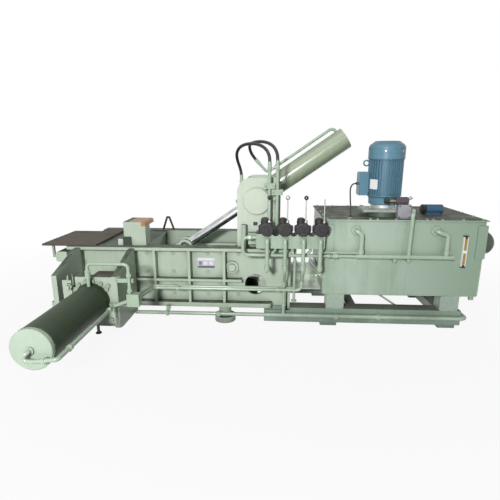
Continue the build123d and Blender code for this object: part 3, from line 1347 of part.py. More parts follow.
# Tank pipes: two ports, the return pipe, the relief line, a drain line and the low pipe with its hangers
low_route = [(thrust_right_face, low_pipe_y, low_pipe_z), (base_right + 50, low_pipe_y, low_pipe_z),
             (base_right + 50, base_rear - 100, low_pipe_z)]
second_z = header_z + 32.0
port_z = 995.0
ports = (2433.0, 3177.0)
legs = (2482.0, 3274.0)
with BuildPart() as tank_pipes:
    for port, leg in zip(ports, legs):
        add(pipe([(port, base_front, port_z), (port, header_y, port_z), (leg, header_y, port_z - 36),
                  (leg, header_y, header_z)], pipe_big + 4, 24))
        add(round_bar((port, base_front, port_z), (0, -1, 0), 80, 14))
        add(round_bar((leg, header_y, header_z + 30), (0, 0, 1), pipe_big + 16, 40))
    add(pipe([(header_joint_x, header_y, header_z), (header_step_x + 10, header_y, header_z)], pipe_mid, 0))
    add(pipe([(header_step_x, header_y, header_z), (header_end_x, header_y, header_z)], pipe_big + 6, 0))
    add(round_bar((2216, header_y, header_z), (1, 0, 0), pipe_mid + 22, 48))
    add(round_bar((header_end_x - 14, header_y, header_z), (1, 0, 0), pipe_big + 14, 18))
    add(pipe([(header_joint_x, header_y, second_z), (legs[0], header_y, second_z)], pipe_thin, 0))
    add(pipe([(relief_left + relief_side, relief_y, relief_top - 60), (relief_left + relief_side + 40, relief_y, relief_top - 60),
              (relief_left + relief_side - 20, header_y, relief_top - 70), (relief_left + relief_side - 26, header_y, header_z)],
             pipe_big, 24))
    for x in (2804.0, 2934.0):
        slab((x - 14, x + 14), (header_y, base_front), (header_z - 56, header_z - 18))
    add(pipe(low_route, low_pipe, pipe_bend))
    add(round_bar((drop_x[1], low_pipe_y, low_pipe_z), (0, 0, 1), pipe_small + 6, tee_reach))
    slab((wall_hanger_x, wall_hanger_x + hanger), (low_pipe_y - 24, low_pipe_y + 24),
         (low_pipe_z - 24, low_pipe_z + 24))
    slab((wall_hanger_x, wall_hanger_x + hanger), (low_pipe_y + 6, -flange_face),
         (low_pipe_z + 12, box_base + 24))
    slab((2264, 2306), (low_pipe_y - 24, base_front), (low_pipe_z - 24, low_pipe_z + 24))
    add(round_bar((tank_right - 30, base_front + 50, tank_low), (0, 0, -1), 40, 26))
    add(round_bar((tank_right - 46, base_front + 50, tank_low - 40), (1, 0, 0), 34, 40))

# Cords: two hoses to the lid cylinder and the motor's cable
feed_end = (cap_fitting - on_lean(-225, pipe_lift)).normalized()
hose_end = riser_high + riser_nut
head_hose_route = [(port_x, 0, port_top), (port_x, 0, 1490), (1278, -14, 1562), (1254, -48, 1636),
                   (1250, -98, 1706), (1284, -156, 1766), (1352, -224, 1797), (1438, -298, 1802),
                   (1517, -376, 1782), (1570, -440, 1741), (1598, -490, 1689),
                   (riser_x[0], riser_y, 1634), (riser_x[0], riser_y, hose_end)]
cap_hose_route = [tuple(cap_fitting), tuple(cap_fitting + feed_end * 64), (1403, -20, 1702),
                  (1384, -58, 1762), (1396, -108, 1818), (1446, -176, 1850), (1520, -260, 1853),
                  (1588, -345, 1830), (1640, -425, 1786), (1671, -486, 1724),
                  (riser_x[1], riser_y, 1655), (riser_x[1], riser_y, hose_end)]
cable_start = motor_x - motor_fins / 2 - box_side - 6.0
cable_route = [(cable_start, motor_y, box_gland_z), (cable_start - 32, motor_y, box_gland_z),
               (2420, -303, 1391), (2406, -330, 1355), (2402, -366, 1310), (2398, -408, 1262),
               (2394, -456, 1214), (2388, -500, 1172), (cable_gland_x, cable_gland_y, 1140),
               (cable_gland_x, cable_gland_y, tank_surface + cable_gland)]
with BuildPart() as head_hose:
    add(cord(head_hose_route, hose_diameter, "head_hose"))
with BuildPart() as cap_hose:
    add(cord(cap_hose_route, hose_diameter, "cap_hose"))
with BuildPart() as motor_cable:
    add(cord(cable_route, cable_diameter, "motor_cable"))

pieces = {
    "front_wall": front_wall, "rear_wall": rear_wall, "channel_liners": channel_liners,
    "floor_plate": floor_plate, "crosshead": crosshead,
    "channel_roof": channel_roof, "cover_plate": cover_plate, "discharge_frame": discharge_frame,
    "discharge_gate": discharge_gate, "gate_rod": gate_rod, "gate_cylinder": gate_cylinder,
    "thrust_plate_left": thrust_plate_left, "thrust_plate_right": thrust_plate_right,
    "side_flange_plate": side_flange_plate, "side_cylinder_tube": side_cylinder_tube,
    "side_cylinder_cap": side_cylinder_cap, "bolt_heads": bolt_heads,
    "side_rod": side_rod, "side_pusher": side_pusher,
    "main_pusher": main_pusher, "main_rod": main_rod, "main_cylinder": main_cylinder, "lid": lid,
    "lid_hinge_pin": lid_hinge_pin, "lid_bracket_front": lid_bracket_front,
    "lid_bracket_rear": lid_bracket_rear, "lid_cylinder_tube": lid_cylinder_tube,
    "lid_cylinder_gland": lid_cylinder_gland, "lid_cylinder_pipes": lid_cylinder_pipes,
    "lid_rod": lid_rod, "lid_lug_pin": lid_lug_pin, "lifting_loop": lifting_loop, "top_post": top_post,
    "post_slab": post_slab, "feet": feet, "base_frame": base_frame, "tank_shell": tank_shell,
    "tank_top": tank_top, "level_gauge": level_gauge, "side_filter": side_filter,
    "motor_frame": motor_frame, "terminal_box": terminal_box, "motor_cowl": motor_cowl,
    "motor_shaft": motor_shaft, "bell_housing": bell_housing, "pump": pump, "relief_valve": relief_valve,
    "breather_cover": breather_cover, "manifold": manifold,
    "valve_bodies": valve_bodies, "valve_pipes": valve_pipes, "side_pipes": side_pipes,
    "tank_pipes": tank_pipes, "head_hose": head_hose, "cap_hose": cap_hose,
    "motor_cable": motor_cable,
}
for name, piece in pieces.items():
    write(piece.part, name)
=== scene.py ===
"""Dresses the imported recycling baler: paints, bare steel, hoses, fittings, welds, plates and the studio."""

import logging
from dataclasses import dataclass
from enum import Enum
from functools import cache
from math import cos, pi, radians, sin

import bmesh
import bpy
import numpy as np
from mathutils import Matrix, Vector

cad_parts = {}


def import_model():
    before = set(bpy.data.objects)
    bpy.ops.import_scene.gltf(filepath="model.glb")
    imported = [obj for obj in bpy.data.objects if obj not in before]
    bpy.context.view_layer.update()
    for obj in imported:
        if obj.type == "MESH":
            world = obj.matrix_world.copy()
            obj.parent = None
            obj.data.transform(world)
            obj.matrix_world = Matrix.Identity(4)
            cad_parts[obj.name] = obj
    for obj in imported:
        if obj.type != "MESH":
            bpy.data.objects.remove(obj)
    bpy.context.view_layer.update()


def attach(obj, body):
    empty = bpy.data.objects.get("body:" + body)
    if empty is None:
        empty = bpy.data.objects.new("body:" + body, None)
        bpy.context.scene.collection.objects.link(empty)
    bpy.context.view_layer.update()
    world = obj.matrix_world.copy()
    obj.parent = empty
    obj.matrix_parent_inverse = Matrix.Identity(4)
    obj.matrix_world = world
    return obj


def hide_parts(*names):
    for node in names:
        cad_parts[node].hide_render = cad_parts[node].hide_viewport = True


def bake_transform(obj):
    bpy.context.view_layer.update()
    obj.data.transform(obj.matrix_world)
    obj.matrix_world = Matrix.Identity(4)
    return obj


LOG = logging.getLogger("baler")
Array = np.ndarray
Colour = tuple[float, float, float]
Point = tuple[float, float, float]
Span = tuple[float, float]
Profile = list[tuple[float, float]]

FAR = 9.0
LEFT, RIGHT, FRONT, AWAY, UP = (-1, 0, 0), (1, 0, 0), (0, -1, 0), (0, 1, 0), (0, 0, 1)
MOTOR_X, MOTOR_Y = 2.748, -0.290
VALVES = [1.584 + 0.169 * i for i in range(4)]
VALVE_FACE, VALVE_Z = -0.716, 1.011
RISERS = ((1.604, -0.520), (1.679, -0.520))
RISER_TOP = 1.578
HEAD_PORT = (1.295, 0, 1.424)
FEED_END = (1.487, 0, 1.600)
CABLE_ENDS = ((2.478, -0.290, 1.413), (2.387, -0.522, 1.111))


class Body(str, Enum):
    """The rigid bodies that pieces ride on."""

    PRESS = "press"
    LID_CYLINDER = "lid_cylinder"


@dataclass(frozen=True)
class Zone:
    """A stretch of a piece with a finish of its own. A span is None where the stretch has no end along that axis."""

    colour: Colour
    rough: float = 0.4
    metal: float = 0.0
    x: Span | None = None
    y: Span | None = None
    z: Span | None = None


class Val:
    """A shader socket that sums, products and comparisons can be written with."""

    def __init__(self, graph: "Graph", socket: bpy.types.NodeSocket) -> None:
        """Keep the socket and the graph that it belongs to."""
        self.graph = graph
        self.socket = socket

    def _math(self, operation: str, first: object, second: object, clamp: bool = False) -> "Val":
        """Add one Math node.

        Args:
            operation: the node's operation.
            first: a value or a number for its first socket.
            second: the same for its second socket.
            clamp: hold the result between 0 and 1.

        Returns:
            The node's result.
        """
        made = self.graph.node("ShaderNodeMath", {"operation": operation, "use_clamp": clamp}, {0: first, 1: second})
        return self.graph.out(made, 0)

    def __add__(self, other: object) -> "Val":
        """Sum."""
        return self._math("ADD", self, other)

    __radd__ = __add__

    def __sub__(self, other: object) -> "Val":
        """Difference."""
        return self._math("SUBTRACT", self, other)

    def __rsub__(self, other: object) -> "Val":
        """Difference, number first."""
        return self._math("SUBTRACT", other, self)

    def __mul__(self, other: object) -> "Val":
        """Product."""
        return self._math("MULTIPLY", self, other)

    __rmul__ = __mul__

    def __pow__(self, other: object) -> "Val":
        """Power."""
        return self._math("POWER", self, other)

    def largest(self, other: object) -> "Val":
        """The larger of two values."""
        return self._math("MAXIMUM", self, other)

    def held(self) -> "Val":
        """The value held between 0 and 1."""
        return self._math("ADD", self, 0.0, clamp=True)

    def step(self, low: float, high: float) -> "Val":
        """A smooth step.

        Args:
            low: the value at which the step begins, where the result is 0.
            high: the value at which it ends, where the result is 1. It may be below low.

        Returns:
            0 to 1.
        """
        made = self.graph.node("ShaderNodeMapRange", {"interpolation_type": "SMOOTHSTEP"},
                               {"Value": self, "From Min": low, "From Max": high})
        return self.graph.out(made, "Result")


class Graph:
    """The nodes of a material or of the world, with one method that adds any of them."""

    def __init__(self, name: str, world: bool = False) -> None:
        """Start an empty material, or world, of that name."""
        self.owner = (bpy.data.worlds if world else bpy.data.materials).new(name)
        self.owner.use_nodes = True
        self.tree = self.owner.node_tree
        self.tree.nodes.clear()
        self.place = self.node("ShaderNodeTexCoord")

    def node(self, kind: str, settings: dict | None = None, sockets: dict | None = None) -> bpy.types.Node:
        """Add a node.

        Args:
            kind: the node's type.
            settings: properties, set before the sockets.
            sockets: numbers, colours or values by socket name or place.

        Returns:
            The node.
        """
        made = self.tree.nodes.new(kind)
        for key, value in (settings or {}).items():
            setattr(made, key, value)
        for key, value in (sockets or {}).items():
            target = made.inputs[key]
            if isinstance(value, Val):
                self.tree.links.new(value.socket, target)
            elif isinstance(value, tuple) and target.type == "RGBA":
                target.default_value = (*value, 1.0)
            else:
                target.default_value = value
        return made

    def out(self, made: bpy.types.Node, key: object) -> Val:
        """One of a node's outputs as a value."""
        return Val(self, made.outputs[key])

    def spot(self) -> Val:
        """The place on the piece, in metres."""
        return self.out(self.place, "Object")

    def axes(self, source: Val) -> tuple[Val, Val, Val]:
        """The three numbers of a vector."""
        made = self.node("ShaderNodeSeparateXYZ", None, {0: source})
        return self.out(made, 0), self.out(made, 1), self.out(made, 2)

    def facing(self) -> tuple[Val, Val, Val]:
        """The surface's own direction on the piece."""
        return self.axes(self.out(self.place, "Normal"))

    def stretched(self, scale: Point) -> Val:
        """The place, multiplied axis by axis.

        Args:
            scale: factor along each axis.

        Returns:
            The stretched place.
        """
        made = self.node("ShaderNodeVectorMath", {"operation": "MULTIPLY"}, {0: self.spot(), 1: scale})
        return self.out(made, 0)

    def noise(self, scale: float, detail: float = 3.0, rough: float = 0.55, at: Val | None = None,
              warp: float = 0.0) -> Val:
        """Cloudy noise.

        Args:
            scale: features per metre.
            detail: octaves.
            rough: how strong the fine octaves are.
            at: where it is read, or None for the place on the piece.
            warp: distortion.

        Returns:
            0 to 1, mostly near 0.5.
        """
        made = self.node("ShaderNodeTexNoise", None,
                         {"Vector": at or self.spot(), "Scale": scale, "Detail": detail, "Roughness": rough,
                          "Distortion": warp})
        return self.out(made, "Fac")

    def mix(self, share: object, low: object, high: object) -> Val:
        """Blend two colours.

        Args:
            share: 0 gives low and 1 gives high.
            low: a colour or a value.
            high: the same.

        Returns:
            The blended colour.
        """
        made = self.node("ShaderNodeMix", {"data_type": "RGBA"}, {0: share, 6: low, 7: high})
        return self.out(made, 2)

    def corner(self, reach: float, inside: bool = False) -> Val:
        """How open the surface is.

        Args:
            reach: how far it looks, in metres.
            inside: look into the solid, which finds outer edges.

        Returns:
            1 in the open, falling to 0 in a corner.
        """
        made = self.node("ShaderNodeAmbientOcclusion", {"samples": 6, "inside": inside, "only_local": inside},
                         {"Distance": reach})
        return self.out(made, "AO")

    def inside(self, zone: Zone) -> Val:
        """1 inside a zone's box and 0 outside it, from the place along each axis."""
        soft = 0.0005
        share: Val | float = 1.0
        for value, span in zip(self.axes(self.spot()), (zone.x, zone.y, zone.z)):
            if span is not None:
                low, high = span
                share = value.step(low - soft, low + soft) * value.step(high + soft, high - soft) * share
        return share

    def zoned(self, zones: tuple[Zone, ...], body: Val, dull: Val, metal: object) -> tuple[Val, Val, object]:
        """Lay zones over a finish.

        Args:
            zones: the stretches with their own finish.
            body: colour elsewhere.
            dull: roughness elsewhere.
            metal: how metallic the finish is elsewhere.

        Returns:
            Colour, roughness and metalness everywhere.
        """
        for zone in zones:
            share = self.inside(zone)
            body = self.mix(share, body, self.mix(self.noise(30.0, 4.0) * 0.35, zone.colour, (0.05, 0.05, 0.045)))
            dull = dull + share * (zone.rough - dull)
            metal = (1.0 - share) * metal + share * zone.metal
        return body, dull, metal

    def seen(self) -> Val:
        """1 for what the camera sees directly, mirrored or through glass, and 0 for light that falls on things."""
        path = self.node("ShaderNodeLightPath")
        rays = [self.out(path, f"Is {kind} Ray") for kind in ("Camera", "Glossy", "Transmission")]
        return (rays[0] + rays[1] + rays[2]).held()

    def close(self, share: Val, dim: bpy.types.Node, bright: bpy.types.Node, output: str) -> None:
        """Mix two shaders into the output.

        Args:
            share: 0 gives dim and 1 gives bright.
            dim: a shader's node.
            bright: the same.
            output: type of the output node.
        """
        both = self.node("ShaderNodeMixShader", None, {0: share, 1: self.out(dim, 0), 2: self.out(bright, 0)})
        self.node(output, None, {"Surface": self.out(both, 0)})

    def finish(self, sockets: dict, bump: Val, depth: float) -> bpy.types.Material:
        """Close the graph with its shader.

        Args:
            sockets: what the shader's own sockets take.
            bump: height of the surface.
            depth: how far the height reaches, in metres.

        Returns:
            The material.
        """
        raised = self.node("ShaderNodeBump", None, {"Strength": 1.0, "Distance": depth, "Height": bump})
        shader = self.node("ShaderNodeBsdfPrincipled", None, {**sockets, "Normal": self.out(raised, 0)})
        self.node("ShaderNodeOutputMaterial", None, {"Surface": self.out(shader, 0)})
        return self.owner


@dataclass(frozen=True)
class Paint:
    """Sprayed enamel on steel: slow shifts of tone, chips at edges and dirty splashes near the floor, with painted
    shade: corners darker and rougher as if grimy, upward faces darker and partly a dusty film, and, where set, a
    darkening along x.
    """

    name: str
    colour: Colour
    low_tone: Colour
    dust_and_top_shade: Colour = (0.115, 0.100, 0.080)
    top_share: float = 0.75
    grime_and_shade: Colour = (0.050, 0.060, 0.042)
    corner_share: float = 0.55
    chip: Colour = (0.55, 0.57, 0.50)
    chip_share: float = 0.35
    rough: float = 0.36
    coat: float = 0.12
    gloss: float = 0.22
    splash_height: float = 0.30
    peel: float = 0.00035
    shade_along_x: tuple[float, float] = (8.0, 9.0)
    zones: tuple[Zone, ...] = ()

    def make(self) -> bpy.types.Material:
        """Build the paint.

        Returns:
            The material.
        """
        g = Graph(self.name)
        x, _, z = g.axes(g.spot())
        up = g.facing()[2]
        cloud = g.noise(2.2, 4.0)
        fine = g.noise(38.0, 4.0, 0.65)
        streak = g.noise(1.0, 4.0, 0.6, g.stretched((26.0, 26.0, 1.6)))
        tone = (cloud.step(0.34, 0.68) * 0.55 + streak.step(0.42, 0.75) * 0.30 + fine * 0.15).held()
        # Painted shade: over the span given, the colour runs to low_tone along x, for light that falls off towards
        # the right.
        tone = tone.largest(x.step(*self.shade_along_x))
        body = g.mix(tone, self.colour, self.low_tone)
        body = g.zoned(self.zones, body, fine, 0.0)[0]
        # Painted shade: ambient occlusion darkens corners and creases; the same mask makes them rougher, as if grimy.
        open_air = g.corner(0.10)
        corner_mask = ((1.0 - open_air).step(0.18, 0.80) * (fine * 0.7 + 0.65)).held() * self.corner_share
        body = g.mix(corner_mask, body, self.grime_and_shade)
        splash = (z.step(self.splash_height, 0.0) * cloud.step(0.30, 0.70)).held() * 0.45
        body = g.mix(splash, body, self.grime_and_shade)
        # Upward faces darker and rougher, with less coat: partly a dusty film, partly painted shade for the dim light
        # from above.
        top_mask = (up.step(0.55, 0.92) * (g.noise(7.0, 5.0, 0.62) * 0.7 + 0.55)).held() * self.top_share
        body = g.mix(top_mask, body, self.dust_and_top_shade)
        edge = (1.0 - g.corner(0.012, True)).step(0.40, 0.72)
        chips = (edge * g.noise(60.0, 3.0, 0.7).step(0.50, 0.60)).held() * self.chip_share
        body = g.mix(chips, body, self.chip)
        dull = (self.rough + top_mask * 0.35 + corner_mask * 0.30 + (fine - 0.5) * 0.12).held()
        height = g.noise(420.0, 2.0, 0.5) * 0.35 + fine * 0.65
        return g.finish({"Base Color": body, "Roughness": dull, "Coat Weight": (self.coat * (1.0 - top_mask)).held(),
                         "Coat Roughness": 0.18, "Specular IOR Level": self.gloss}, height, self.peel)


@dataclass(frozen=True)
class BareSteel:
    """Rubbed plate: mill skin, scratches along the travel, rust-brown patches."""

    name: str
    colour: Colour
    dark: Colour
    rust: Colour = (0.115, 0.070, 0.042)
    rust_share: float = 0.45
    scratch: Point = (3.0, 90.0, 90.0)
    rough: float = 0.42
    metal: float = 0.55
    zones: tuple[Zone, ...] = ()

    def make(self) -> bpy.types.Material:
        """Build the steel.

        Returns:
            The material.
        """
        g = Graph(self.name)
        lines = g.noise(1.0, 5.0, 0.7, g.stretched(self.scratch))
        patch = g.noise(5.5, 5.0, 0.6, warp=0.6)
        speck = g.noise(55.0, 3.0, 0.6)
        body = g.mix(lines.step(0.36, 0.66), self.dark, self.colour)
        rusty = (patch.step(0.50, 0.66) * (speck * 0.8 + 0.5)).held() * self.rust_share
        body = g.mix(rusty, body, self.rust)
        # Painted shade: corners and creases that ambient occlusion finds run up to half-way to near black.
        body = g.mix((1.0 - g.corner(0.08)).step(0.2, 0.9) * 0.5, body, (0.03, 0.028, 0.024))
        dull = (self.rough + rusty * 0.4 + (lines - 0.5) * 0.25).held()
        body, dull, metal = g.zoned(self.zones, body, dull, (self.metal * (1.0 - rusty)).held())
        return g.finish({"Base Color": body, "Roughness": dull, "Metallic": metal, "Specular IOR Level": 0.3},
                        lines * 0.7 + speck * 0.3, 0.0005)


@dataclass(frozen=True)
class HardChrome:
    """Ground and plated rod with faint rings round it and an oil film."""

    name: str
    colour: Colour = (0.62, 0.63, 0.64)
    rough: float = 0.16

    def make(self) -> bpy.types.Material:
        """Build the chrome.

        Returns:
            The material.
        """
        g = Graph(self.name)
        film = g.noise(9.0, 4.0, 0.6)
        wipe = g.noise(1.0, 4.0, 0.6, g.stretched((160.0, 12.0, 160.0)))
        body = g.mix(film.step(0.40, 0.72) * 0.55, self.colour, (0.22, 0.23, 0.22))
        dull = (self.rough + film.step(0.45, 0.75) * 0.14 + (wipe - 0.5) * 0.08).held()
        return g.finish({"Base Color": body, "Roughness": dull, "Metallic": 1.0}, wipe, 0.00006)


@dataclass(frozen=True)
class Moulded:
    """Rubber, plastic or a dark casting: fine grain, scuffs and a dusty film on upward faces."""

    name: str
    colour: Colour
    scuff: Colour
    rough: float = 0.45
    grain: float = 240.0
    grain_depth: float = 0.0003
    top_share: float = 0.25
    metal: float = 0.0
    zones: tuple[Zone, ...] = ()

    def make(self) -> bpy.types.Material:
        """Build the material.

        Returns:
            The material.
        """
        g = Graph(self.name)
        rub = g.noise(14.0, 5.0, 0.65)
        grain = g.noise(self.grain, 3.0, 0.6)
        up = g.facing()[2]
        body = g.mix(rub.step(0.48, 0.74), self.colour, self.scuff)
        body, dull, metal = g.zoned(self.zones, body, rub * 0.2 + (self.rough - 0.1), self.metal)
        top_mask = (up.step(0.3, 0.95) * (rub * 0.9 + 0.4)).held() * self.top_share
        body = g.mix(top_mask, body, (0.16, 0.15, 0.13))
        dull = (dull + top_mask * 0.4).held()
        return g.finish({"Base Color": body, "Roughness": dull, "Metallic": metal}, grain, self.grain_depth)


BLACK = (0.012, 0.012, 0.012)
# Painted shade on the block in front of the post.
POST_BLOCK_SHADE = (0.045, 0.062, 0.040)
DARK = (0.02, 0.02, 0.02)
AMBER = (0.46, 0.29, 0.035)
BALL = Zone(BLACK, 0.16, z=(1.286, FAR))


class Finish(Enum):
    """Every finish of the machine."""

    # Painted shade: the first zone darkens the block in front of the post, and the dark green top colour darkens the
    # upward faces, partly as a dusty film.
    PRESS = Paint("press_paint", (0.468, 0.548, 0.447), (0.372, 0.446, 0.350), dust_and_top_shade=(0.026, 0.036, 0.023),
        top_share=0.9, zones=(Zone(POST_BLOCK_SHADE, x=(0.10, 0.19), y=(-0.480, -0.4405), z=(0.783, 0.88)),
        Zone((0.72, 0.77, 0.70), x=(0.04, 0.1075), y=(-0.445, -0.37), z=(0.784, 0.86))))
    # Painted shade: the side and gate barrels are near black green, standing in for the dark surroundings that their
    # gloss reflects.
    SHADED_SIDE_BARREL = Paint("shaded_side_barrel_paint", (0.030, 0.050, 0.025), (0.022, 0.038, 0.018), top_share=0.0,
        grime_and_shade=(0.012, 0.018, 0.010), rough=0.55, coat=0.0, gloss=0.35, chip=(0.20, 0.24, 0.17), peel=0.00012)
    BARREL = Paint("barrel_paint", (0.310, 0.375, 0.255), (0.262, 0.322, 0.212), top_share=0.1, rough=0.32,
        coat=0.75, gloss=0.6, chip=(0.34, 0.38, 0.30), peel=0.00012)
    # Painted light: a paler copy of the barrel green, raised to make up for the shade under the box where the main
    # barrel sits.
    LIT_MAIN_BARREL = Paint("lit_main_barrel_paint", (0.520, 0.610, 0.490), (0.430, 0.510, 0.400), top_share=0.1, rough=0.20,
        coat=1.0, gloss=0.7, peel=0.0001, splash_height=0.0)
    # The zone past x 3.6515 makes the filter dome dark green: partly its own colour, partly painted shade on its
    # right-facing side.
    PALE = Paint("pale_paint", (0.420, 0.512, 0.412), (0.350, 0.435, 0.345), top_share=0.3,
        zones=(Zone((0.085, 0.122, 0.080), x=(3.6515, FAR)),))
    # Painted light: a paler copy of the press green, for the brighter light on the lid brackets.
    BRACKET = Paint("lit_bracket_paint", (0.560, 0.628, 0.522), (0.462, 0.530, 0.430), top_share=0.5)
    BASE = Paint("base_paint", (0.255, 0.340, 0.275), (0.190, 0.265, 0.210),
        zones=(Zone((0.410, 0.505, 0.420), z=(0.192, FAR)),))
    # Painted shade: the dark green top colour and the high corner share darken the upward faces and corners of the
    # liners and floor plate, partly as a dusty, grimy film.
    INNER = Paint("inner_paint", (0.400, 0.490, 0.390), (0.260, 0.320, 0.245), dust_and_top_shade=(0.030, 0.038, 0.026),
        top_share=0.9, chip=(0.20, 0.18, 0.15), chip_share=0.6, corner_share=0.7)
    PIPE = Paint("pipe_paint", (0.410, 0.520, 0.400), (0.310, 0.405, 0.300), top_share=0.2, rough=0.27, coat=0.5)
    # Painted shade: the tank darkens to its low tone towards its right end, and its upward faces take a dark brown
    # that is partly a dusty film and partly painted shade.
    TANK = Paint("tank_paint", (0.440, 0.530, 0.445), (0.265, 0.365, 0.272), dust_and_top_shade=(0.050, 0.044, 0.033),
        top_share=0.97, shade_along_x=(2.0, 4.1))
    # Painted light: the blue is raised above the motor's own colour, and the corner share kept low, to lighten the
    # shade between the fins.
    BLUE = Paint("motor_paint", (0.118, 0.250, 0.325), (0.092, 0.205, 0.278), top_share=0.2,
        grime_and_shade=(0.018, 0.045, 0.064), corner_share=0.35, chip=(0.30, 0.42, 0.48), chip_share=0.2, splash_height=0.0,
        rough=0.33, peel=0.0002)
    BREATHER = Paint("breather_paint", (0.050, 0.120, 0.215), (0.036, 0.090, 0.165), top_share=0.35,
        grime_and_shade=(0.015, 0.028, 0.045), splash_height=0.0, zones=(Zone(BLACK, x=(-FAR, 3.196)),))
    ORANGE = Paint("orange_paint", (0.500, 0.245, 0.110), (0.330, 0.165, 0.045), top_share=0.2,
        dust_and_top_shade=(0.20, 0.115, 0.06))
    PLATE = BareSteel("worn_plate", (0.112, 0.096, 0.074), (0.070, 0.060, 0.046), metal=0.05, rough=0.7)
    COVER = BareSteel("cover_plate_steel", (0.112, 0.096, 0.074), (0.070, 0.060, 0.046), metal=0.05, rough=0.7,
        zones=(Zone((0.40, 0.48, 0.38), 0.45, z=(-FAR, 0.7815)),))
    BRIGHT = BareSteel("bright_steel", (0.52, 0.52, 0.50), (0.34, 0.34, 0.32), rust_share=0.15, metal=0.9, rough=0.3)
    CHROME = HardChrome("hard_chrome")
    IRON = Moulded("valve_iron", (0.018, 0.015, 0.016), (0.060, 0.052, 0.057), rough=0.6, grain=160.0,
        grain_depth=0.0008, metal=0.1)
    RELIEF = Moulded("relief_finish", (0.075, 0.060, 0.082), (0.140, 0.122, 0.150), rough=0.42, grain=160.0,
        zones=(Zone((0.42, 0.41, 0.45), 0.35, 0.3, z=(-FAR, 1.2315)),
        Zone(BLACK, 0.3, x=(-FAR, 2.753), z=(1.2315, FAR)),
        Zone((0.50, 0.40, 0.16), 0.3, 0.8, x=(2.753, 2.8087), z=(1.2315, FAR)),
        Zone((0.55, 0.55, 0.54), 0.3, 0.9, x=(2.929, FAR), z=(1.2315, FAR))))
    BELL = Moulded("bell_finish", (0.62, 0.64, 0.62), (0.48, 0.51, 0.48), rough=0.3, metal=0.6,
        zones=(Zone((0.085, 0.120, 0.085), z=(-FAR, 1.1448)), Zone((0.40, 0.47, 0.40), z=(1.1448, 1.1702))))
    LEVER = Moulded("lever_finish", (0.56, 0.56, 0.53), (0.40, 0.39, 0.36), rough=0.32, metal=0.85,
        grain_depth=0.0001, zones=(BALL,))
    PALE_LEVER = Moulded("pale_lever_finish", (0.50, 0.51, 0.47), (0.38, 0.38, 0.35), rough=0.35, metal=0.7,
        grain_depth=0.0001)
    BOLT = Paint("bolt_paint", (0.400, 0.475, 0.385), (0.255, 0.310, 0.245), rough=0.4, chip=(0.45, 0.45, 0.42),
        chip_share=0.6, top_share=0.3)
    BROWN = BareSteel("loop_steel", (0.075, 0.058, 0.045), (0.045, 0.035, 0.028), metal=0.3, rough=0.55)
    RUBBER = Moulded("hose_rubber", (0.016, 0.014, 0.014), (0.050, 0.042, 0.040), rough=0.36, grain_depth=0.0002,
        top_share=0.25)
    GAUGE = Moulded("gauge_finish", (0.70, 0.71, 0.68), (0.58, 0.59, 0.55), rough=0.30, grain_depth=0.0001,
        zones=(Zone(AMBER, 0.12, x=(3.4465, 3.4695), z=(0.667, 0.783)),
        Zone(AMBER, 0.12, x=(3.4465, 3.4695), z=(0.812, 0.928)), Zone(DARK, 0.3, z=(-FAR, 0.652)),
        Zone(DARK, 0.3, z=(0.943, FAR))))
    LABEL = Moulded("label_foil", (0.84, 0.84, 0.84), (0.74, 0.74, 0.75), rough=0.28, grain_depth=0.00005,
        top_share=0.1)
    NAME_PLATE = Moulded("name_plate_foil", (0.50, 0.49, 0.60), (0.40, 0.39, 0.49), rough=0.28, grain_depth=0.00005,
        top_share=0.1, zones=(Zone((0.13, 0.13, 0.19), 0.3, x=(0.866, 1.048), z=(0.554, 0.576)),
        Zone((0.86, 0.86, 0.88), 0.3, x=(0.866, 1.048), z=(0.634, 0.660)),
        Zone((0.20, 0.20, 0.28), 0.3, x=(0.885, 0.915), z=(0.585, 0.622)),
        Zone((0.80, 0.80, 0.83), 0.3, x=(0.930, 0.972), z=(0.585, 0.622)),
        Zone((0.80, 0.80, 0.83), 0.3, x=(0.990, 1.032), z=(0.585, 0.622))))
    DARK_PLATE = Moulded("dark_plate_foil", (0.50, 0.52, 0.56), (0.40, 0.42, 0.46), rough=0.3, grain_depth=0.00005,
        zones=(Zone((0.03, 0.035, 0.09), 0.25, x=(1.445, 1.487), z=(1.000, 1.036)),))
    WELD = Paint("weld_paint", (0.400, 0.510, 0.395), (0.270, 0.350, 0.262), top_share=0.4, peel=0.0008)

    @cache
    def material(self) -> bpy.types.Material:
        """The finish's material, which is built once."""
        return self.value.make()


def sheet_faces(blocks: int, rows: int, columns: int) -> Array:
    """Corner numbers of the quads of equal grids laid one after another, each closed round its columns.

    Args:
        blocks: how many grids.
        rows: points along the first parameter.
        columns: points along the second.

    Returns:
        One row of four numbers a quad.
    """
    row, column = np.meshgrid(np.arange(rows - 1), np.arange(columns), indexing="ij")
    beside = (column + 1) % columns
    quads = np.stack([row * columns + column, row * columns + beside,
                      (row + 1) * columns + beside, (row + 1) * columns + column], -1).reshape(-1, 4)
    return (quads[None] + (np.arange(blocks) * rows * columns)[:, None, None]).reshape(-1, 4)


def axis_frame(axis: Array) -> Array:
    """Two directions across an axis and the axis itself, as the rows of a matrix."""
    along = np.asarray(axis, float) / np.linalg.norm(axis)
    helper = np.array([0.0, 0.0, 1.0]) if abs(along[2]) < 0.9 else np.array([1.0, 0.0, 0.0])
    first = np.cross(helper, along)
    first /= np.linalg.norm(first)
    return np.stack([first, np.cross(along, first), along])


def button(radius: float, side: float, crown: float, top: float, foot: float = -0.001) -> Profile:
    """Profile of a disc: up its side from the foot, in to the crown, flat on top."""
    return [(0, foot), (radius, foot), (radius, side), (crown, top), (0, top)]


def hoop(inner: float, outer: float, low: float, high: float) -> Profile:
    """Profile of a band with square edges."""
    return [(inner, low), (outer, low), (outer, high), (inner, high)]


def corners(first: float, second: float) -> Profile:
    """The four corners of a rectangle round its middle, from its half sides."""
    return [(a, b) for a in (-first, first) for b in (-second, second)]


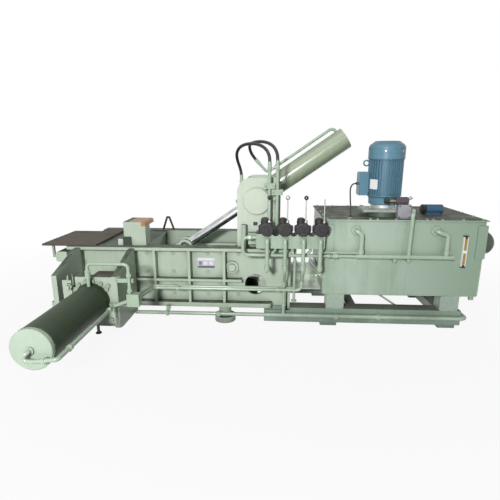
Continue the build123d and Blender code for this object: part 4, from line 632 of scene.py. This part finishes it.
def close_seams(mesh: bpy.types.Mesh, reach: float) -> None:
    """Merge points that lie within reach of each other and turn every face outwards."""
    work = bmesh.new()
    work.from_mesh(mesh)
    bmesh.ops.remove_doubles(work, verts=work.verts, dist=reach)
    bmesh.ops.recalc_face_normals(work, faces=work.faces)
    work.to_mesh(mesh)
    work.free()


class Shape:
    """Gathers grids of points and turns them into one closed, smooth-shaded piece."""

    def __init__(self, name: str) -> None:
        """Start a piece of that name."""
        self.name = name
        self.points: list[Array] = []
        self.faces: list[Array] = []
        self.count = 0

    def grids(self, points: Array) -> "Shape":
        """Add equal grids, whose last columns join their first.

        Args:
            points: grids, rows, columns and the three coordinates.

        Returns:
            The shape itself.
        """
        blocks, rows, columns, _ = points.shape
        self.faces.append(sheet_faces(blocks, rows, columns) + self.count)
        self.points.append(points.reshape(-1, 3))
        self.count += blocks * rows * columns
        return self

    def turned(self, profile: Profile, places: Array, axis: Point, sides: int = 24,
               phase: float = 0.0) -> "Shape":
        """Add copies of a turned form.

        A point of the profile (radius, height) goes to place + height along the axis + radius towards
        each of the sides' angles.

        Args:
            profile: radius and height, from the axis and back to it for a closed form.
            places: one row a copy.
            axis: direction of the height.
            sides: how many sides the form has. 6 gives a hexagon.
            phase: angle of the first side, in radians.

        Returns:
            The shape itself.
        """
        across, beside, along = axis_frame(axis)
        angle = phase + np.arange(sides) * 2 * pi / sides
        spokes = np.cos(angle)[:, None] * across + np.sin(angle)[:, None] * beside
        form = np.array(profile, float)
        local = form[:, 0, None, None] * spokes[None] + form[:, 1, None, None] * along
        return self.grids(np.atleast_2d(np.array(places, float))[:, None, None] + local[None])

    def tube(self, path: Array, radius: Array | float, sides: int = 12) -> "Shape":
        """Add a round tube along a path, closed at its ends.

        At each point a circle stands across the path's direction there. Its first radius lies across the
        best flat through the path.

        Args:
            path: one row a point.
            radius: one number, or one a point.
            sides: points round the circle.

        Returns:
            The shape itself.
        """
        path = np.asarray(path, float)
        along = np.gradient(path, axis=0)
        along /= np.linalg.norm(along, axis=1)[:, None]
        flat = np.linalg.svd(path - path.mean(0))[2][2]
        first = np.cross(along, flat)
        first /= np.linalg.norm(first, axis=1)[:, None]
        second = np.cross(along, first)
        angle = np.arange(sides) * 2 * pi / sides
        size = np.broadcast_to(radius, len(path))[:, None, None]
        ring = np.cos(angle)[None, :, None] * first[:, None] + np.sin(angle)[None, :, None] * second[:, None]
        body = path[:, None] + size * ring
        ends = [np.repeat(path[i][None, None], sides, 1) for i in (0, -1)]
        return self.grids(np.concatenate([ends[0], body, ends[1]])[None])

    def plate(self, centre: Point, across: Point, upward: Point, size: tuple[float, float], thick: float,
              corner: float, bevel: float) -> "Shape":
        """Add a flat plate with round corners and a bevelled rim.

        The rim is a rounded rectangle: a corner's centre plus its radius towards each angle. The rim is
        repeated, drawn in at the bevel, and ends in the middle of each face.

        Args:
            centre: middle of the back face.
            across: direction of the width.
            upward: direction of the height.
            size: width and height.
            thick: thickness, along across x upward.
            corner: radius of the corners.
            bevel: width of the bevel.

        Returns:
            The shape itself.
        """
        right, up = np.array(across, float), np.array(upward, float)
        out = np.cross(right, up)
        angle = (np.arange(24) + 0.5) * 2 * pi / 24
        sign = np.stack([np.sign(np.cos(angle)), np.sign(np.sin(angle))], -1)
        rings = []
        for inset, depth in ((-1.0, 0.0), (0.0, 0.0), (0.0, thick - bevel), (bevel, thick), (-1.0, thick)):
            if inset < 0:
                flat = np.zeros((24, 2))
            else:
                middle = sign * (np.array(size) / 2 - corner)
                flat = middle + (corner - min(inset, corner)) * np.stack([np.cos(angle), np.sin(angle)], -1)
            rings.append(np.array(centre) + flat[:, :1] * right + flat[:, 1:] * up + depth * out)
        return self.grids(np.stack(rings)[None])

    def piece(self, slot: str, finish: Finish, sharp: float = 30.0, body: Body = Body.PRESS) -> None:
        """Turn what was gathered into an object that rides on a body.

        Args:
            slot: not used.
            finish: its finish.
            sharp: edges that turn by more degrees than this stay sharp.
            body: the body that it rides on.
        """
        mesh = bpy.data.meshes.new(self.name)
        mesh.from_pydata(np.concatenate(self.points).tolist(), [], np.concatenate(self.faces).tolist())
        close_seams(mesh, 1e-6)
        mesh.polygons.foreach_set("use_smooth", np.ones(len(mesh.polygons), bool))
        mesh.set_sharp_from_angle(angle=radians(sharp))
        mesh.materials.append(finish.material())
        made = bpy.data.objects.new(self.name, mesh)
        bpy.context.scene.collection.objects.link(made)
        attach(made, body.value)
        LOG.info("%s: %d faces on %s", self.name, len(mesh.polygons), body.value)


class Frame:
    """The painted and bare CAD nodes."""

    nodes: dict[Finish, str] = {
        Finish.PRESS: "front_wall rear_wall thrust_plate_left thrust_plate_right side_flange_plate discharge_frame "
                      "crosshead top_post feet lid channel_roof lid_hinge_pin lid_lug_pin",
        Finish.BRACKET: "lid_bracket_front lid_bracket_rear",
        Finish.PALE: "side_cylinder_cap side_filter",
        Finish.INNER: "channel_liners floor_plate",
        Finish.PLATE: "discharge_gate side_pusher main_pusher",
        Finish.COVER: "cover_plate",
        Finish.SHADED_SIDE_BARREL: "side_cylinder_tube gate_cylinder",
        Finish.BARREL: "lid_cylinder_tube lid_cylinder_gland",
        Finish.LIT_MAIN_BARREL: "main_cylinder",
        Finish.CHROME: "side_rod main_rod lid_rod gate_rod",
        Finish.BRIGHT: "motor_shaft pump",
        Finish.LEVER: "valve_lever_1 valve_lever_3",
        Finish.PALE_LEVER: "valve_lever_2 valve_lever_4",
        Finish.PIPE: "lid_cylinder_pipes valve_pipes side_pipes tank_pipes",
        Finish.TANK: "tank_shell tank_top manifold",
        Finish.BASE: "base_frame",
        Finish.BLUE: "motor_frame terminal_box motor_cowl",
        Finish.BREATHER: "breather_cover",
        Finish.BELL: "bell_housing",
        Finish.IRON: "valve_bodies",
        Finish.RELIEF: "relief_valve",
        Finish.ORANGE: "post_slab",
        Finish.GAUGE: "level_gauge",
        Finish.BOLT: "bolt_heads",
        Finish.BROWN: "lifting_loop",
    }

    def build(self) -> None:
        """Give each CAD node its finish."""
        for finish, names in self.nodes.items():
            for name in names.split():
                mesh = bpy.data.objects[name].data
                mesh.materials.clear()
                mesh.materials.append(finish.material())
            LOG.info("%s: %s", finish.name.lower(), names)


@dataclass
class Cords:
    """The two hoses of the lid cylinder and the motor's cable.

    They follow their CAD tubes, apart from the top of the cap hose, which lies lower.
    """

    hose: float = 0.032
    cable: float = 0.014
    held_y: float = -0.44
    free_y: float = -0.07

    def _skin(self, line: bpy.types.Object) -> tuple[bpy.types.Object, list[Point]]:
        """Turn a round spline into a closed mesh.

        Args:
            line: the spline's object.

        Returns:
            The mesh's object and the points of its centre line.
        """
        skin = bpy.data.meshes.new_from_object(line)
        line.data.bevel_depth = 0.0
        centre = bpy.data.meshes.new_from_object(line)
        path = np.empty((len(centre.vertices), 3), np.float32)
        centre.vertices.foreach_get("co", path.ravel())
        close_seams(skin, 1e-5)
        return bpy.data.objects.new(line.name + "_skin", skin), path.tolist()

    def _cord(self, name: str, node: str, route: list[Point], diameter: float, length: float,
              bends: bool = False) -> None:
        """Make one cord as a smooth spline.

        Args:
            name: the piece's name.
            node: the CAD node that it stands for.
            route: its control points.
            diameter: its thickness.
            length: its real length.
            bends: whether it is turned into a closed mesh that rides on no body, instead of a spline on the press.
        """
        data = bpy.data.curves.new(name, "CURVE")
        data.dimensions = "3D"
        spline = data.splines.new("NURBS")
        spline.points.add(len(route) - 1)
        spline.points.foreach_set("co", np.hstack([np.array(route), np.ones((len(route), 1))]).ravel())
        spline.order_u = 3
        spline.use_endpoint_u = True
        spline.resolution_u = 12
        data.bevel_depth = diameter / 2
        data.bevel_resolution = 6
        data.use_fill_caps = True
        data.materials.append(Finish.RUBBER.material())
        made, path = bpy.data.objects.new(name, data), None
        if bends:
            made, path = self._skin(made)
        bpy.context.scene.collection.objects.link(made)
        if bends:
            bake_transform(made)
        else:
            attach(made, Body.PRESS.value)
        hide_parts(node)
        LOG.info("%s: %.3f m of %.3f m in place of %s", made.name, length, diameter, node)

    def build(self) -> None:
        """Make the three cords."""
        self._cord("head_hose_line", "head_hose", [
            HEAD_PORT, (1.295, 0, 1.490), (1.278, -0.014, 1.562), (1.254, -0.048, 1.636),
            (1.250, -0.098, 1.706), (1.284, -0.156, 1.766), (1.352, -0.224, 1.797), (1.438, -0.298, 1.802),
            (1.517, -0.376, 1.782), (1.570, -0.440, 1.741), (1.598, -0.490, 1.689), (1.604, -0.520, 1.634),
            (*RISERS[0], RISER_TOP)], self.hose, 1.011, True)
        self._cord("cap_hose_line", "cap_hose", [
            FEED_END, (1.4437, 0, 1.6471), (1.403, -0.020, 1.702), (1.384, -0.058, 1.762),
            (1.392, -0.108, 1.800), (1.442, -0.176, 1.818), (1.516, -0.260, 1.822), (1.588, -0.345, 1.806),
            (1.642, -0.425, 1.768), (1.672, -0.486, 1.712), (1.679, -0.520, 1.655), (*RISERS[1], RISER_TOP)],
            self.hose, 0.941, True)
        self._cord("motor_cable_line", "motor_cable", [
            CABLE_ENDS[0], (2.446, -0.290, 1.413), (2.420, -0.303, 1.391), (2.406, -0.330, 1.355),
            (2.402, -0.366, 1.310), (2.398, -0.408, 1.262), (2.394, -0.456, 1.214), (2.388, -0.500, 1.172),
            (2.387, -0.522, 1.140), CABLE_ENDS[1]], self.cable, 0.431)


def bead_path(start: Point, end: Point, step: float = 0.003) -> Array:
    """Even points on a straight run, from start to end."""
    first, last = np.array(start), np.array(end)
    count = max(4, int(np.linalg.norm(last - first) / step))
    return first + np.linspace(0.0, 1.0, count)[:, None] * (last - first)


@dataclass
class Welds:
    """Painted-over beads along the joints of the plates."""

    size: float = 0.0055
    ripple: float = 0.012
    seed: int = 11

    def _beads(self, name: str, runs: list[tuple[Point, Point]], slot: str) -> None:
        """Lay beads on straight runs.

        A bead is a tube whose radius swells and shrinks by a sine along the run, with a little noise.

        Args:
            name: the piece's name.
            runs: start and end of each bead.
            slot: not used.
        """
        shape = Shape(name)
        chance = np.random.default_rng(self.seed)
        for start, end in runs:
            path = bead_path(start, end)
            way = np.linspace(0.0, np.linalg.norm(path[-1] - path[0]), len(path))
            swell = 1.0 + 0.10 * np.sin(way * 2 * pi / self.ripple) + 0.05 * chance.standard_normal(len(path))
            shape.tube(path, self.size * swell, 6)
        shape.piece(slot, Finish.WELD, 80.0)

    def _rings(self) -> None:
        """Lay beads round the cylinders: a torus whose tube swells by a sine round the ring."""
        shape = Shape("cylinder_beads")
        first, second, _ = axis_frame(FRONT)
        turn = np.linspace(0.0, 2 * pi, 400)
        for centre, radius in (((0.0, -1.936, 0.400), 0.154), ((0.0, -1.032, 0.400), 0.1625)):
            path = np.array(centre) + radius * (np.cos(turn)[:, None] * first + np.sin(turn)[:, None] * second)
            shape.tube(path, 0.0022 * (1.0 + 0.12 * np.sin(turn * 80)), 6)
        shape.piece("barrel_paint", Finish.SHADED_SIDE_BARREL, 80.0)

    def build(self) -> None:
        """Lay every bead."""
        web, rib, deep, foot, head = -0.450, 0.0125, -0.528, 0.205, 0.752
        runs = []
        for x in (0.437, 0.794, 1.152):
            for side in (-1, 1):
                place = x + side * rib
                runs += [((place, web, 0.206), (place, web, 0.429)), ((place, web, 0.456), (place, web, 0.751))]
            runs += [((x - rib, deep, z), (x + rib, deep, z)) for z in (head, foot)]
        for z in (0.430, 0.455):
            stops = (0.243, 0.437, 0.794, 1.152, 1.330)
            runs += [((a + rib, web, z), (b - rib, web, z)) for a, b in zip(stops, stops[1:])]
        runs += [((0.245, web, head), (1.798, web, head)), ((0.245, web, foot), (1.600, web, foot)),
                 ((-0.314, web, head), (0.193, web, head)), ((0.244, web, 0.210), (0.244, web, 0.620)),
                 ((1.799, web, 0.20), (1.799, web, 0.750)), ((-0.315, web, 0.30), (-0.315, web, 0.620)),
                 ((0.194, web, 0.51), (0.194, web, 0.620)), ((-0.316, -0.540, 0.626), (-0.364, -0.540, 0.626)),
                 ((1.283, -0.4304, 0.784), (1.712, -0.4304, 0.784))]
        self._beads("wall_beads", runs, "press_paint")
        front, low, high, left, right = -0.590, 0.348, 1.085, 2.139, 3.633
        runs = [((left, front, low + 0.004), (left, front, high - 0.004)),
                ((right, front, low + 0.004), (right, front, 0.726)),
                ((left + 0.01, front, low), (right - 0.01, front, low)),
                ((left + 0.01, front - 0.002, high), (right - 0.01, front - 0.002, high))]
        for x in (2.184, 3.298):
            runs += [((x, front, z), (x + 0.170, front, z)) for z in (0.193, 0.346)]
            runs += [((place, front, 0.20), (place, front, 0.34)) for place in (x, x + 0.170)]
        for x in (2.433, 3.177):
            turn = np.linspace(0.0, 2 * pi, 40)
            runs += [((x + 0.041 * cos(a), front - 0.001, 0.995 + 0.041 * sin(a)),
                      (x + 0.041 * cos(b), front - 0.001, 0.995 + 0.041 * sin(b))) for a, b in zip(turn, turn[1:])]
        self._beads("tank_beads", runs, "tank_paint")
        self._rings()


class Fasteners:
    """Hexagon screws with washers, and socket screws, on plates and covers."""

    def _screws(self, name: str, places: list[Point], axis: Point, across: float, slot: str,
                socket: bool = False) -> None:
        """Set screws on a face.

        A screw is a washer and a hexagon head with a domed top, or a round head with a hexagon socket.

        Args:
            name: the piece's name.
            places: where they stand.
            axis: which way they point.
            across: width of the head.
            slot: not used.
            socket: round heads with a hexagon socket.
        """
        half = across / 2
        shape = Shape(name)
        if socket:
            shape.turned([(0, -0.001), (half, -0.001), (half, half * 1.1), (half * 0.9, half * 1.25),
                          (half * 0.55, half * 1.25), (half * 0.55, half * 0.5), (0, half * 0.5)], places, axis, 18)
        else:
            shape.turned(button(half * 1.45, half * 0.20, half * 1.4, half * 0.26), places, axis, 18)
            shape.turned([(0, half * 0.2), (half * 1.15, half * 0.2), (half * 1.15, half * 0.95),
                          (half * 1.0, half * 1.1), (half * 0.6, half * 1.16), (0, half * 1.18)], places, axis, 6)
        shape.piece(slot, Finish.IRON if socket else Finish.BOLT)

    def build(self) -> None:
        """Set every screw."""
        top = 1.097
        edge = [(x, -0.584, top) for x in (2.160, 2.360, 2.565, 2.632, 2.803, 3.089, 3.146, 3.232, 3.422, 3.600)]
        edge += [(x, 0.410, top) for x in np.linspace(2.17, 3.60, 9)]
        edge += [(x, y, top) for x in (2.148, 3.624) for y in (-0.35, -0.10, 0.16)]
        self._screws("tank_top_screws", edge, UP, 0.019, "tank_paint")
        self._screws("motor_plate_screws", [(MOTOR_X + a, MOTOR_Y + b, 1.170) for a, b in corners(0.195, 0.110)],
                     UP, 0.024, "bell_paint")
        around = [(0.134 * cos(a), 0.134 * sin(a)) for a in np.arange(8) * pi / 4 + 0.4]
        self._screws("motor_flange_screws", [(MOTOR_X + a, MOTOR_Y + b, 1.1702) for a, b in around], UP, 0.017,
                     "bell_paint")
        self._screws("clamp_screws", [(riser[0] + side, -0.540, z) for riser, z in zip(RISERS, (1.402, 1.342))
                                      for side in (-0.036, 0.036)], FRONT, 0.015, "pipe_paint")
        self._screws("strap_screws", [(0.182, -1.048, 0.366), (0.300, -1.048, 0.366), (0.262, -1.080, 0.607),
                                      (0.402, -1.080, 0.607)], FRONT, 0.014, "pipe_paint")
        self._screws("filter_screws", [(3.650, -0.420 + a, 0.850 + b) for a, b in corners(0.133, 0.133)], RIGHT,
                     0.018, "filter_paint")
        self._screws("box_screws", [(2.4905, MOTOR_Y + a, 1.412 + b) for a, b in corners(0.058, 0.094)], LEFT,
                     0.009, "motor_blue")
        self._screws("valve_screws", [(x + 0.046 * cos(a), VALVE_FACE, VALVE_Z + 0.046 * sin(a)) for x in VALVES
                                      for a in np.arange(4) * pi / 2 + pi / 4], FRONT, 0.014, "valve_iron",
                     socket=True)
        self._screws("relief_screws", [(2.893 + a, -0.530, 1.164 + b) for a, b in corners(0.047, 0.052)], FRONT,
                     0.013, "valve_iron", socket=True)


class Fittings:
    """Nuts, sleeves and unions on the pipes and hoses."""

    def _nut(self, shape: Shape, place: Point, axis: Point, bore: float, length: float) -> None:
        """Add a union nut: a hexagon with chamfered ends between two short collars.

        Args:
            shape: the piece that it joins.
            place: its middle.
            axis: direction of the pipe.
            bore: diameter of the pipe.
            length: length of the hexagon.
        """
        r, h = bore * 0.5, length / 2
        shape.turned([(r * 0.8, -h), (r * 1.35, -h), (r * 1.62, -h * 0.82), (r * 1.62, h * 0.82), (r * 1.35, h),
                      (r * 0.8, h)], [place], axis, 6, 0.26)
        shape.turned([(r * 0.8, -h * 1.9), (r * 1.14, -h * 1.9), (r * 1.22, -h * 1.7), (r * 1.22, h * 1.7),
                      (r * 1.14, h * 1.9), (r * 0.8, h * 1.9)], [place], axis, 20)

    def _sleeve(self, shape: Shape, place: Point, axis: Point, length: float) -> None:
        """Add a crimped hose sleeve: a tube with four rings pressed into it."""
        r = 0.0195
        profile = [(0.0155, 0.0), (r, 0.0)]
        for i in range(4):
            at = length * (i + 0.5) / 4
            profile += [(r, at - 0.005), (r - 0.0016, at - 0.002), (r - 0.0016, at + 0.002), (r, at + 0.005)]
        profile += [(r, length), (0.0155, length)]
        shape.turned(profile, [place], axis, 24)

    def _hexagon(self, name: str, places: list[Point], bore: float, wide: float, finish: Finish,
                 body: Body = Body.PRESS) -> None:
        """Make upright hexagon nuts with chamfered ends.

        Args:
            name: the piece's name.
            places: the middle of each one's foot.
            bore: radius of the hole.
            wide: radius over the corners.
            finish: their finish.
            body: the body that carries them.
        """
        shape, high, chamfer = Shape(name), 0.024, 0.003
        shape.turned([(bore, 0.0), (wide - 0.002, 0.0), (wide, chamfer), (wide, high - chamfer), (wide - 0.002, high),
                      (bore, high)], places, UP, 6)
        shape.piece("pipe_paint", finish, body=body)

    def build(self) -> None:
        """Put every nut and sleeve on its pipe."""
        nuts = Shape("pipe_nuts")
        for place, axis, bore in (((0.010, -1.092, 0.690), UP, 0.030), ((0.378, -1.092, 0.520), UP, 0.030),
                                  ((0.378, -1.092, 0.660), UP, 0.030), ((0.120, -2.035, 0.3535), RIGHT, 0.032),
                                  ((0.215, -1.870, 0.366), AWAY, 0.032), ((0.215, -1.180, 0.366), AWAY, 0.032),
                                  ((0.620, -0.562, 0.388), RIGHT, 0.030), ((0.700, -0.646, 0.397), RIGHT, 0.030),
                                  ((1.700, -0.646, 0.397), RIGHT, 0.030), ((1.929, -0.646, 0.470), UP, 0.028),
                                  ((1.758, -0.612, 0.220), UP, 0.028), ((2.180, -0.648, 0.750), RIGHT, 0.030),
                                  ((1.420, -0.648, 0.922), RIGHT, 0.034), ((1.100, -0.612, 0.118), RIGHT, 0.038),
                                  ((2.700, -0.612, 0.118), RIGHT, 0.038), ((2.230, -0.648, 0.782), RIGHT, 0.018)):
            self._nut(nuts, place, axis, bore, bore * 0.75)
        nuts.piece("pipe_paint", Finish.PIPE)
        sleeves = Shape("hose_sleeves")
        for place, axis, length in ((HEAD_PORT, UP, 0.058), ((*RISERS[0], RISER_TOP), UP, 0.052),
                                    ((*RISERS[1], RISER_TOP), UP, 0.062), (FEED_END, (-0.677, 0, 0.736), 0.056)):
            self._sleeve(sleeves, place, axis, length)
        sleeves.piece("pipe_paint", Finish.PALE)
        below = 0.025
        self._hexagon("hose_nuts", [(*riser, RISER_TOP - below) for riser in RISERS], 0.014, 0.0245, Finish.BRIGHT)
        self._hexagon("head_port_nut", [(*HEAD_PORT[:2], HEAD_PORT[2] - below)], 0.015, 0.025, Finish.PALE,
                      Body.LID_CYLINDER)


class Plates:
    """Bare plates on the wall, the bracket and the motor, two of them with rivets."""

    def build(self) -> None:
        """Fix every plate."""
        Shape("name_plate").plate((0.957, -0.450, 0.6105), RIGHT, UP, (0.184, 0.115), 0.0016, 0.004,
                                  0.0005).piece("press_paint", Finish.NAME_PLATE)
        Shape("plate_rivets").turned([(0, 0), (0.004, 0), (0.0036, 0.0016), (0.002, 0.0024), (0, 0.0026)],
                                     [(0.957 + a, -0.4516, 0.6105 + b) for a, b in corners(0.084, 0.050)] +
                                     [(1.466 + a, -0.4318, 1.015 + b) for a, b in corners(0.020, 0.024)], FRONT,
                                     12).piece("press_paint", Finish.BRIGHT)
        Shape("bracket_plate").plate((1.466, -0.4304, 1.015), RIGHT, UP, (0.052, 0.062), 0.0014, 0.003,
                                     0.0004).piece("press_paint", Finish.DARK_PLATE)
        angle = radians(-52.0)
        across = (cos(angle), sin(angle), 0)
        out = (sin(angle), -cos(angle), 0)
        reach = 0.1655
        Shape("motor_plate").plate((MOTOR_X + out[0] * reach, MOTOR_Y + out[1] * reach, 1.412), across, UP,
                                   (0.090, 0.095), 0.002, 0.006, 0.0005).piece("motor_blue", Finish.LABEL)


class MotorTrim:
    """Lifting eye, cover of the terminal box, bands and screws of the cowl, and the cable's glands."""

    def build(self) -> None:
        """Make the trim.

        The eye is a torus on a short neck. The bands are rings turned round the cowl.
        """
        eye = Shape("motor_eye")
        turn = np.linspace(0.0, 2 * pi, 49)
        ring = np.stack([2.558 + 0.026 * np.cos(turn), np.full(49, MOTOR_Y), 1.612 + 0.026 * np.sin(turn)], -1)
        eye.tube(ring, 0.0075, 12)
        eye.turned(button(0.016, 0.012, 0.010, 0.018), [(2.594, MOTOR_Y, 1.604)], LEFT, 20)
        eye.piece("motor_blue", Finish.BLUE, 40.0)
        Shape("box_cover").plate((2.4906, MOTOR_Y, 1.4145), FRONT, UP, (0.134, 0.214), 0.005, 0.012,
                                 0.0015).piece("motor_blue", Finish.BLUE)
        band = Shape("cowl_bands")
        for low, high, radius in ((1.655, 1.663, 0.1755), (1.700, 1.704, 0.1748), (1.752, 1.757, 0.1748)):
            band.turned(hoop(0.172, radius, low, high), [(MOTOR_X, MOTOR_Y, 0)], UP, 72)
        band.piece("motor_blue", Finish.BLUE)
        screws = Shape("cowl_screws")
        for a in np.arange(6) * pi / 3 + 0.2:
            out = (cos(a), sin(a), 0.0)
            screws.turned(button(0.009, 0.004, 0.006, 0.006, -0.002),
                          [(MOTOR_X + 0.1735 * out[0], MOTOR_Y + 0.1735 * out[1], 1.728)], out, 6)
        screws.piece("motor_blue", Finish.BRIGHT)
        gland = Shape("cable_glands")
        gland.turned([(0.0072, 0), (0.017, 0), (0.017, 0.006), (0.0145, 0.008), (0.0135, 0.017), (0.009, 0.019),
                      (0.0072, 0.019)], [CABLE_ENDS[1]], UP, 6)
        gland.turned([(0.0072, 0), (0.0145, 0), (0.0145, 0.006), (0.012, 0.010), (0.0085, 0.014), (0.0072, 0.014)],
                     [CABLE_ENDS[0]], LEFT, 20)
        gland.piece("hose_rubber", Finish.RUBBER)


class ValveTrim:
    """Bonnet caps, face plugs, spool ends and casting ribs of the hand valves."""

    def build(self) -> None:
        """Make the trim, all of it turned forms that stand on each valve's bonnet, face, sides and casting."""
        valves = np.array(VALVES)
        caps = Shape("bonnet_caps")
        places = np.stack([valves - 0.018, np.full(4, -0.662), np.full(4, 1.106)], -1)
        caps.turned([(0, -0.001), (0.033, -0.001), (0.034, 0.004), (0.030, 0.009), (0.020, 0.0135), (0.012, 0.015),
                     (0.012, 0.0155), (0, 0.0155)], places, UP, 28)
        for low, high in ((-0.034, -0.024), (-0.060, -0.050)):
            caps.turned(hoop(0.037, 0.0415, low, high), places, UP, 28)
        caps.piece("valve_iron", Finish.IRON, 35.0)
        plugs = Shape("valve_plugs")
        faces = np.stack([valves, np.full(4, VALVE_FACE), np.full(4, VALVE_Z)], -1)
        plugs.turned([(0, -0.001), (0.027, -0.001), (0.027, 0.004), (0.019, 0.004), (0.019, 0.015), (0.016, 0.018),
                      (0, 0.018)], faces, FRONT, 6)
        plugs.turned([(0.050, -0.001), (0.0625, -0.001), (0.0625, 0.003), (0.058, 0.006), (0.050, 0.006)], faces,
                     FRONT, 40)
        plugs.piece("valve_iron", Finish.IRON, 35.0)
        ends = Shape("spool_ends")
        for side in (-1, 1):
            places = np.stack([valves + side * 0.058, np.full(4, -0.664), np.full(4, 1.016)], -1)
            ends.turned([(0, 0), (0.036, 0), (0.036, 0.012), (0.030, 0.014), (0.030, 0.020), (0.018, 0.0215),
                         (0, 0.0215)], places, (side, 0, 0), 8, 0.2)
            low = places + np.array([0.0, -0.018, -0.034])
            ends.turned(button(0.012, 0.010, 0.009, 0.014, -0.01), low, (side, 0, 0), 6)
        ends.piece("valve_iron", Finish.IRON)
        rings = Shape("casting_ribs")
        for low in (0.030, 0.062):
            rings.turned([(0.0625, low), (0.067, low + 0.001), (0.067, low + 0.008), (0.0625, low + 0.009)], faces,
                         AWAY, 40)
        rings.piece("valve_iron", Finish.IRON, 35.0)


class GaugeTrim:
    """Ends and middle block of the level gauge."""

    def build(self) -> None:
        """Make the two black screws and the white block between the windows."""
        Shape("gauge_screws").turned(button(0.013, 0.006, 0.010, 0.010),
                                     [(3.458, -0.612, 0.657), (3.458, -0.612, 0.938)], FRONT,
                                     6).piece("gauge_white", Finish.IRON)
        Shape("gauge_block").plate((3.458, -0.612, 0.7975), RIGHT, UP, (0.042, 0.022), 0.006, 0.003,
                                   0.001).piece("gauge_white", Finish.LABEL)


@dataclass(frozen=True)
class Lamp:
    """A soft square lamp: where it hangs, what it faces, its side in metres and its power in watts."""

    name: str
    place: Point
    target: Point
    side: float
    power: float
    glints: bool = True

    def hang(self) -> None:
        """Put the lamp in the scene. Shiny faces mirror it only if it glints."""
        data = bpy.data.lights.new(self.name, "AREA")
        data.shape = "SQUARE"
        data.size = self.side
        data.energy = self.power
        made = bpy.data.objects.new(self.name, data)
        made.location = self.place
        made.visible_glossy = self.glints
        made.rotation_euler = (Vector(self.target) - Vector(self.place)).to_track_quat("-Z", "Y").to_euler()
        bpy.context.scene.collection.objects.link(made)


@dataclass
class Studio:
    """Floor, light and camera."""

    eye: Point = (1.633, -4.340, 1.700)
    tilt: float = 13.7
    turn: float = 3.25
    lens: float = 28.37
    sensor: float = 36.0
    lamps: tuple[Lamp, ...] = (
        Lamp("key", (0.1, -7.2, 3.0), (1.6, -0.4, 0.7), 0.8, 490.0),
        Lamp("overhead", (0.0, -3.0, 6.5), (1.6, 0.2, 0.7), 3.5, 60.0),
        Lamp("rear", (3.4, 7.5, 3.6), (1.6, 0.6, 0.7), 1.5, 330.0, False))
    middle: float = 1.6
    floor_side: float = 80.0
    floor_grey: Colour = (0.36, 0.36, 0.36)
    floor_glow: float = 0.92
    glow_reach: tuple[float, float] = (1.5, 6.0)
    air: Colour = (0.94, 0.97, 1.0)
    air_strength: float = 0.14
    white: Colour = (1.0, 1.0, 1.0)

    def _floor(self) -> None:
        """Lay a floor that the camera sees as nearly white under the machine, with its shadow, and white far off."""
        g = Graph("floor_white")
        shadow = g.node("ShaderNodeBsdfDiffuse", None, {"Color": self.floor_grey})
        glow = g.node("ShaderNodeEmission", None, {"Color": self.white, "Strength": 1.0})
        x, y, _ = g.axes(g.spot())
        away = ((x - self.middle) * (x - self.middle) + y * y) ** 0.5
        share = g.seen() * (self.floor_glow + (1.0 - self.floor_glow) * away.step(*self.glow_reach))
        g.close(share, shadow, glow, "ShaderNodeOutputMaterial")
        mesh = bpy.data.meshes.new("floor")
        half = self.floor_side / 2
        mesh.from_pydata([(-half, -half, 0), (half, -half, 0), (half, half, 0), (-half, half, 0)], [],
                         [(0, 1, 2, 3)])
        mesh.materials.append(g.owner)
        made = bpy.data.objects.new("floor", mesh)
        bpy.context.scene.collection.objects.link(made)

    def _world(self) -> None:
        """Fill the air with even light that the camera sees as white."""
        g = Graph("air", world=True)
        dim = g.node("ShaderNodeBackground", None, {"Color": self.air, "Strength": self.air_strength})
        white = g.node("ShaderNodeBackground", None, {"Color": self.white})
        g.close(g.seen(), dim, white, "ShaderNodeOutputWorld")
        bpy.context.scene.world = g.owner

    def build(self) -> None:
        """Set the stage and the camera."""
        scene = bpy.context.scene
        scene.view_settings.view_transform = "Standard"
        self._floor()
        self._world()
        for lamp in self.lamps:
            lamp.hang()
        data = bpy.data.cameras.new("camera")
        data.lens = self.lens
        data.sensor_width = self.sensor
        made = bpy.data.objects.new("camera", data)
        made.location = self.eye
        made.rotation_euler = (radians(90.0 - self.tilt), 0.0, radians(self.turn))
        scene.collection.objects.link(made)
        scene.camera = made
        LOG.info("studio: %d lamps, floor, air and camera", len(self.lamps))


def main() -> None:
    """Load the frame and dress it."""
    logging.basicConfig(level=logging.INFO)
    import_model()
    for part in (Studio, Cords, Frame, Welds, Fasteners, Fittings, Plates, MotorTrim, ValveTrim, GaugeTrim):
        part().build()


if __name__ == "__main__":
    main()
